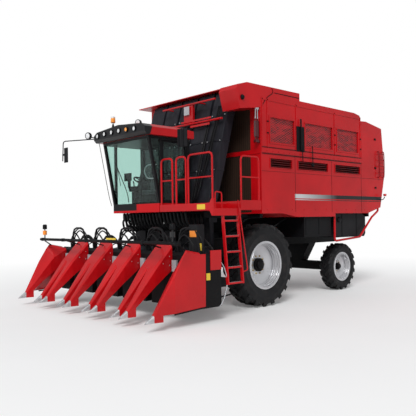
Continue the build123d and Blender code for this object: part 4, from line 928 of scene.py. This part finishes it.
# %% Bolts and spindle rings
HOOD_BOLTS = ((3.36, 1.25), (3.52, 1.12), (3.36, 1.08))
END_BOLTS = ((3.45, 0.95), (3.45, 0.60), (3.22, 0.55), (3.80, 0.52), (3.78, 0.62))
DRUM_X, DRUM_OFFSET = 2.99, 0.223
places = [(x, y + sign * 0.2505, z) for y in HOODS for sign in (-1, 1) for x, z in HOOD_BOLTS]
nuts("hood_bolts", places, LEFTWARD, 0.012, steel, "head", 0.006)
for word, sign in HANDS:
    places = [(x, sign * 2.572, z) for x, z in END_BOLTS]
    nuts(f"panel_bolts_{word}", places, (0, sign, 0), 0.013, red, "head", 0.006)
rings = [(DRUM_X, row + side, z) for row in ROWS for side in (-DRUM_OFFSET, DRUM_OFFSET)
         for z in np.arange(0.42, 1.08, 0.075)]
band = [(0.148, -0.008), (0.158, -0.006), (0.158, 0.006), (0.148, 0.008), (0.148, -0.008)]
turned("spindle_rings", band, rings, UPWARD, steel, "head")

# %% Clamps, boxes and bare plates
clamps = [(3.765, 3.835, y - 0.025, y + 0.025, 1.492, 1.568) for y in (*HOODS, -2.50, 2.50)]
blocks("bar_clamps", clamps, black, "head", 0.006)
blocks("bar_plates", [(3.80, 3.83, 0.30, 0.62, 1.565, 1.60)], yellow, "head", 0.003)
blocks("control_box", [(2.92, 3.10, 2.05, 2.30, 1.26, 1.86)], plastic, "head", 0.012)
blocks("box_plate", [(3.10, 3.106, 2.08, 2.27, 1.62, 1.74)], orange, "head", 0.003)
plates = [(3.02, 3.12, 2.548, 2.553, 0.82, 0.95), (3.0, 3.08, 2.300, 2.306, 1.36, 1.50)]
blocks("end_plates", plates, yellow, "head", 0.002)
post_cap = [(0.050, 0.0), (0.052, 0.02), (0.050, 0.10), (0.030, 0.115)]
turned("lamp_heads", post_cap, [(3.80, -2.40, 1.775), (3.80, 2.40, 1.775)], UPWARD, black, "head", 20)
pipe = [(2.74, 2.50, 1.20), (2.62, 2.53, 1.0), (2.56, 2.54, 0.7), (2.72, 2.54, 0.34), (2.86, 2.5, 0.31)]
tubes("silver_line", [pipe], 0.009, grey, "head")

# %% [markdown]
# ## Deck, ladder and tank
# The ladder's rungs have grip strips and the deck has studs, so that a boot holds on them. A bump
# would be lost at this distance, and a stud is only twenty faces. The plates stay bare.

# %% Deck, tank and frame details
LADDER_FOOT, LADDER_LEAN, LADDER_TOP = 2.44, 0.0868, 2.153


def rung_y(z):
    """y of the ladder's rungs, which lean outwards as they go down."""
    return LADDER_FOOT + LADDER_LEAN * (LADDER_TOP - z)


grips = [(2.155, 2.545, rung_y(z) - 0.045, rung_y(z) + 0.005, z + 0.016, z + 0.021)
         for z in (0.712, 1.014, 1.316, 1.618, 1.920)]
blocks("rung_grips", grips, steel, "machine", 0.002)
studs = [(x, y, 2.272) for x in np.arange(2.14, 2.80, 0.09) for y in np.arange(0.93, 2.05, 0.09)]
nuts("deck_studs", studs, UPWARD, 0.014, red, "machine", 0.004)
blocks("deck_plate", [(2.855, 2.860, 2.03, 2.26, 2.15, 2.25)], yellow, "machine", 0.002)
straps = [(x, x + 0.05, 1.795, 1.806, 1.45, 2.06) for x in (-2.55, -3.25)]
blocks("tank_straps", straps, black, "machine", 0.003)
blocks("box_doors", [(x, x + 0.46, 1.85, 1.858, 1.54, 1.95) for x in (-1.88, -1.34)], black, "machine")
filler = [(0.07, 0.0), (0.07, 0.03), (0.055, 0.045), (0.0, 0.047)]
turned("tank_cap", filler, [(-2.38, 1.80, 1.90)], LEFTWARD, plastic, "machine")
along_frame = [(0, 0.56, 1.55), (-0.5, 0.575, 1.50), (-1.2, 0.57, 1.53), (-1.9, 0.56, 1.46)]
frame_lines = [[(start + x, sign * y, z) for x, y, z in along_frame]
               for start in (1.4, -0.6) for sign in (-1, 1)]
tubes("frame_lines", frame_lines, 0.014, hose, "machine")

# %% [markdown]
# ## Floor and surround
# A studio floor could be lit until it is white, but that burns pale parts too. So the floor glows only
# for the camera, and more so far away, which hides its edge and keeps the shadow. The surround is
# white to the camera and through glass, and a soft grey to everything else.

# %% Floor
WHITE = (1.0, 1.0, 1.0)
GLOW_FROM, GLOW_TO, GLOW_LEAST = 6.0, 16.0, 0.1
REACH = 90.0
FLOOR, FLOOR_LIGHT = (0.86, 0.86, 0.86), (0.89, 0.89, 0.89)

floor_paint = Paint("floor", colour=FLOOR, rough=0.9)
x, y = floor_paint.place("x"), floor_paint.place("y")
floor_paint.shade(colour=floor_paint.blend(floor_paint.noise(0.6, 3.0), FLOOR, FLOOR_LIGHT))
far_floor = (x * x + y * y).root().ramp(GLOW_FROM, GLOW_TO)
camera_ray = Value(floor_paint, floor_paint.node("LightPath").outputs["Is Camera Ray"])
glow = floor_paint.node("Emission", {}, {"Color": WHITE, "Strength": 1.0}).outputs[0]
seen = camera_ray * (far_floor * (1 - GLOW_LEAST) + GLOW_LEAST)
surface = floor_paint.node("MixShader", {}, {0: seen, 1: floor_paint.shader.outputs[0], 2: glow}).outputs[0]
floor_paint.feed(floor_paint.tree.nodes["Material Output"].inputs["Surface"], surface)

floor_mesh = bpy.data.meshes.new("floor")
square = [(-REACH, -REACH, 0), (REACH, -REACH, 0), (REACH, REACH, 0), (-REACH, REACH, 0)]
floor_mesh.from_pydata(square, [], [(0, 1, 2, 3)])
floor_mesh.materials.append(floor_paint.material)
floor = bpy.data.objects.new("floor", floor_mesh)
scene.collection.objects.link(floor)
print("the floor reaches", REACH, "m each way")

# %% Surround
world = bpy.data.worlds.new("surround")
scene.world = world
world.use_nodes = True
sky = Wiring(world.node_tree)
sky.tree.nodes.clear()
rays = sky.node("LightPath").outputs
lit = sky.node("Background", {}, {"Color": (0.96, 0.98, 1.0), "Strength": 0.50}).outputs[0]
shown = sky.node("Background", {}, {"Color": WHITE, "Strength": 1.0}).outputs[0]
either = sky.node("Math", {"operation": "ADD", "use_clamp": True},
                  {0: rays["Is Camera Ray"], 1: rays["Is Transmission Ray"]}).outputs[0]
both = sky.node("MixShader", {}, {0: either, 1: lit, 2: shown}).outputs[0]
sky.node("OutputWorld", {}, {"Surface": both})
print("the surround has", len(sky.tree.nodes), "nodes")

# %% [markdown]
# ## Light
# One wide soft sun from the front left gives shape, and a faint one from the right lifts the dark
# side. Area lamps would fall off along nine metres of machine; suns don't.


# %% Lamps
def lamp(name, kind, place, target, energy, **settings):
    """A lamp at a place, turned towards a target."""
    data = bpy.data.lights.new(name, kind)
    data.energy = energy
    for key, value in settings.items():
        setattr(data, key, value)
    thing = bpy.data.objects.new(name, data)
    thing.location = place
    thing.rotation_mode = "QUATERNION"
    thing.rotation_quaternion = (Vector(target) - Vector(place)).to_track_quat("-Z", "Y")
    scene.collection.objects.link(thing)
    print(f"{name}: {kind} of strength {energy}")


lamp("key", "SUN", (12, 10, 14), (0, 0, 1.5), 2.3, angle=0.35)
lamp("fill", "SUN", (14, -6, 6), (0, 0, 2), 0.35, angle=0.9)

# %% [markdown]
# ## Camera
# The camera is the photograph's own: its place, heading and focal length were fitted so that the
# machine falls where it does in the picture. A view set by eye wouldn't let shapes be compared.

# %% Camera
PLACE = (10.285, 10.149, 1.941)
YAW, PITCH, ROLL = math.radians(227.18), 0.0082, -0.0143
FOCAL_PIXELS, FRAME_PIXELS = 562.70, 416
CENTRE_PIXELS = (200.67, 215.52)
SENSOR = 36.0
forward = Vector((math.cos(PITCH) * math.cos(YAW), math.cos(PITCH) * math.sin(YAW), math.sin(PITCH)))
right = forward.cross(Vector((0, 0, 1))).normalized()
level = Matrix((right, right.cross(forward), -forward)).transposed()

camera_data = bpy.data.cameras.new("camera")
camera_data.sensor_width = SENSOR
camera_data.lens = FOCAL_PIXELS / FRAME_PIXELS * SENSOR
camera_data.shift_x = (FRAME_PIXELS / 2 - CENTRE_PIXELS[0]) / FRAME_PIXELS
camera_data.shift_y = (CENTRE_PIXELS[1] - FRAME_PIXELS / 2) / FRAME_PIXELS
camera_data.clip_end = 400.0
camera = bpy.data.objects.new("camera", camera_data)
camera.rotation_mode = "QUATERNION"
camera.rotation_quaternion = (level @ Matrix.Rotation(ROLL, 3, "Z")).to_quaternion()
camera.location = PLACE
scene.collection.objects.link(camera)
scene.camera = camera
scene.view_settings.view_transform = "Standard"
print("lens", round(camera_data.lens, 1), "mm")
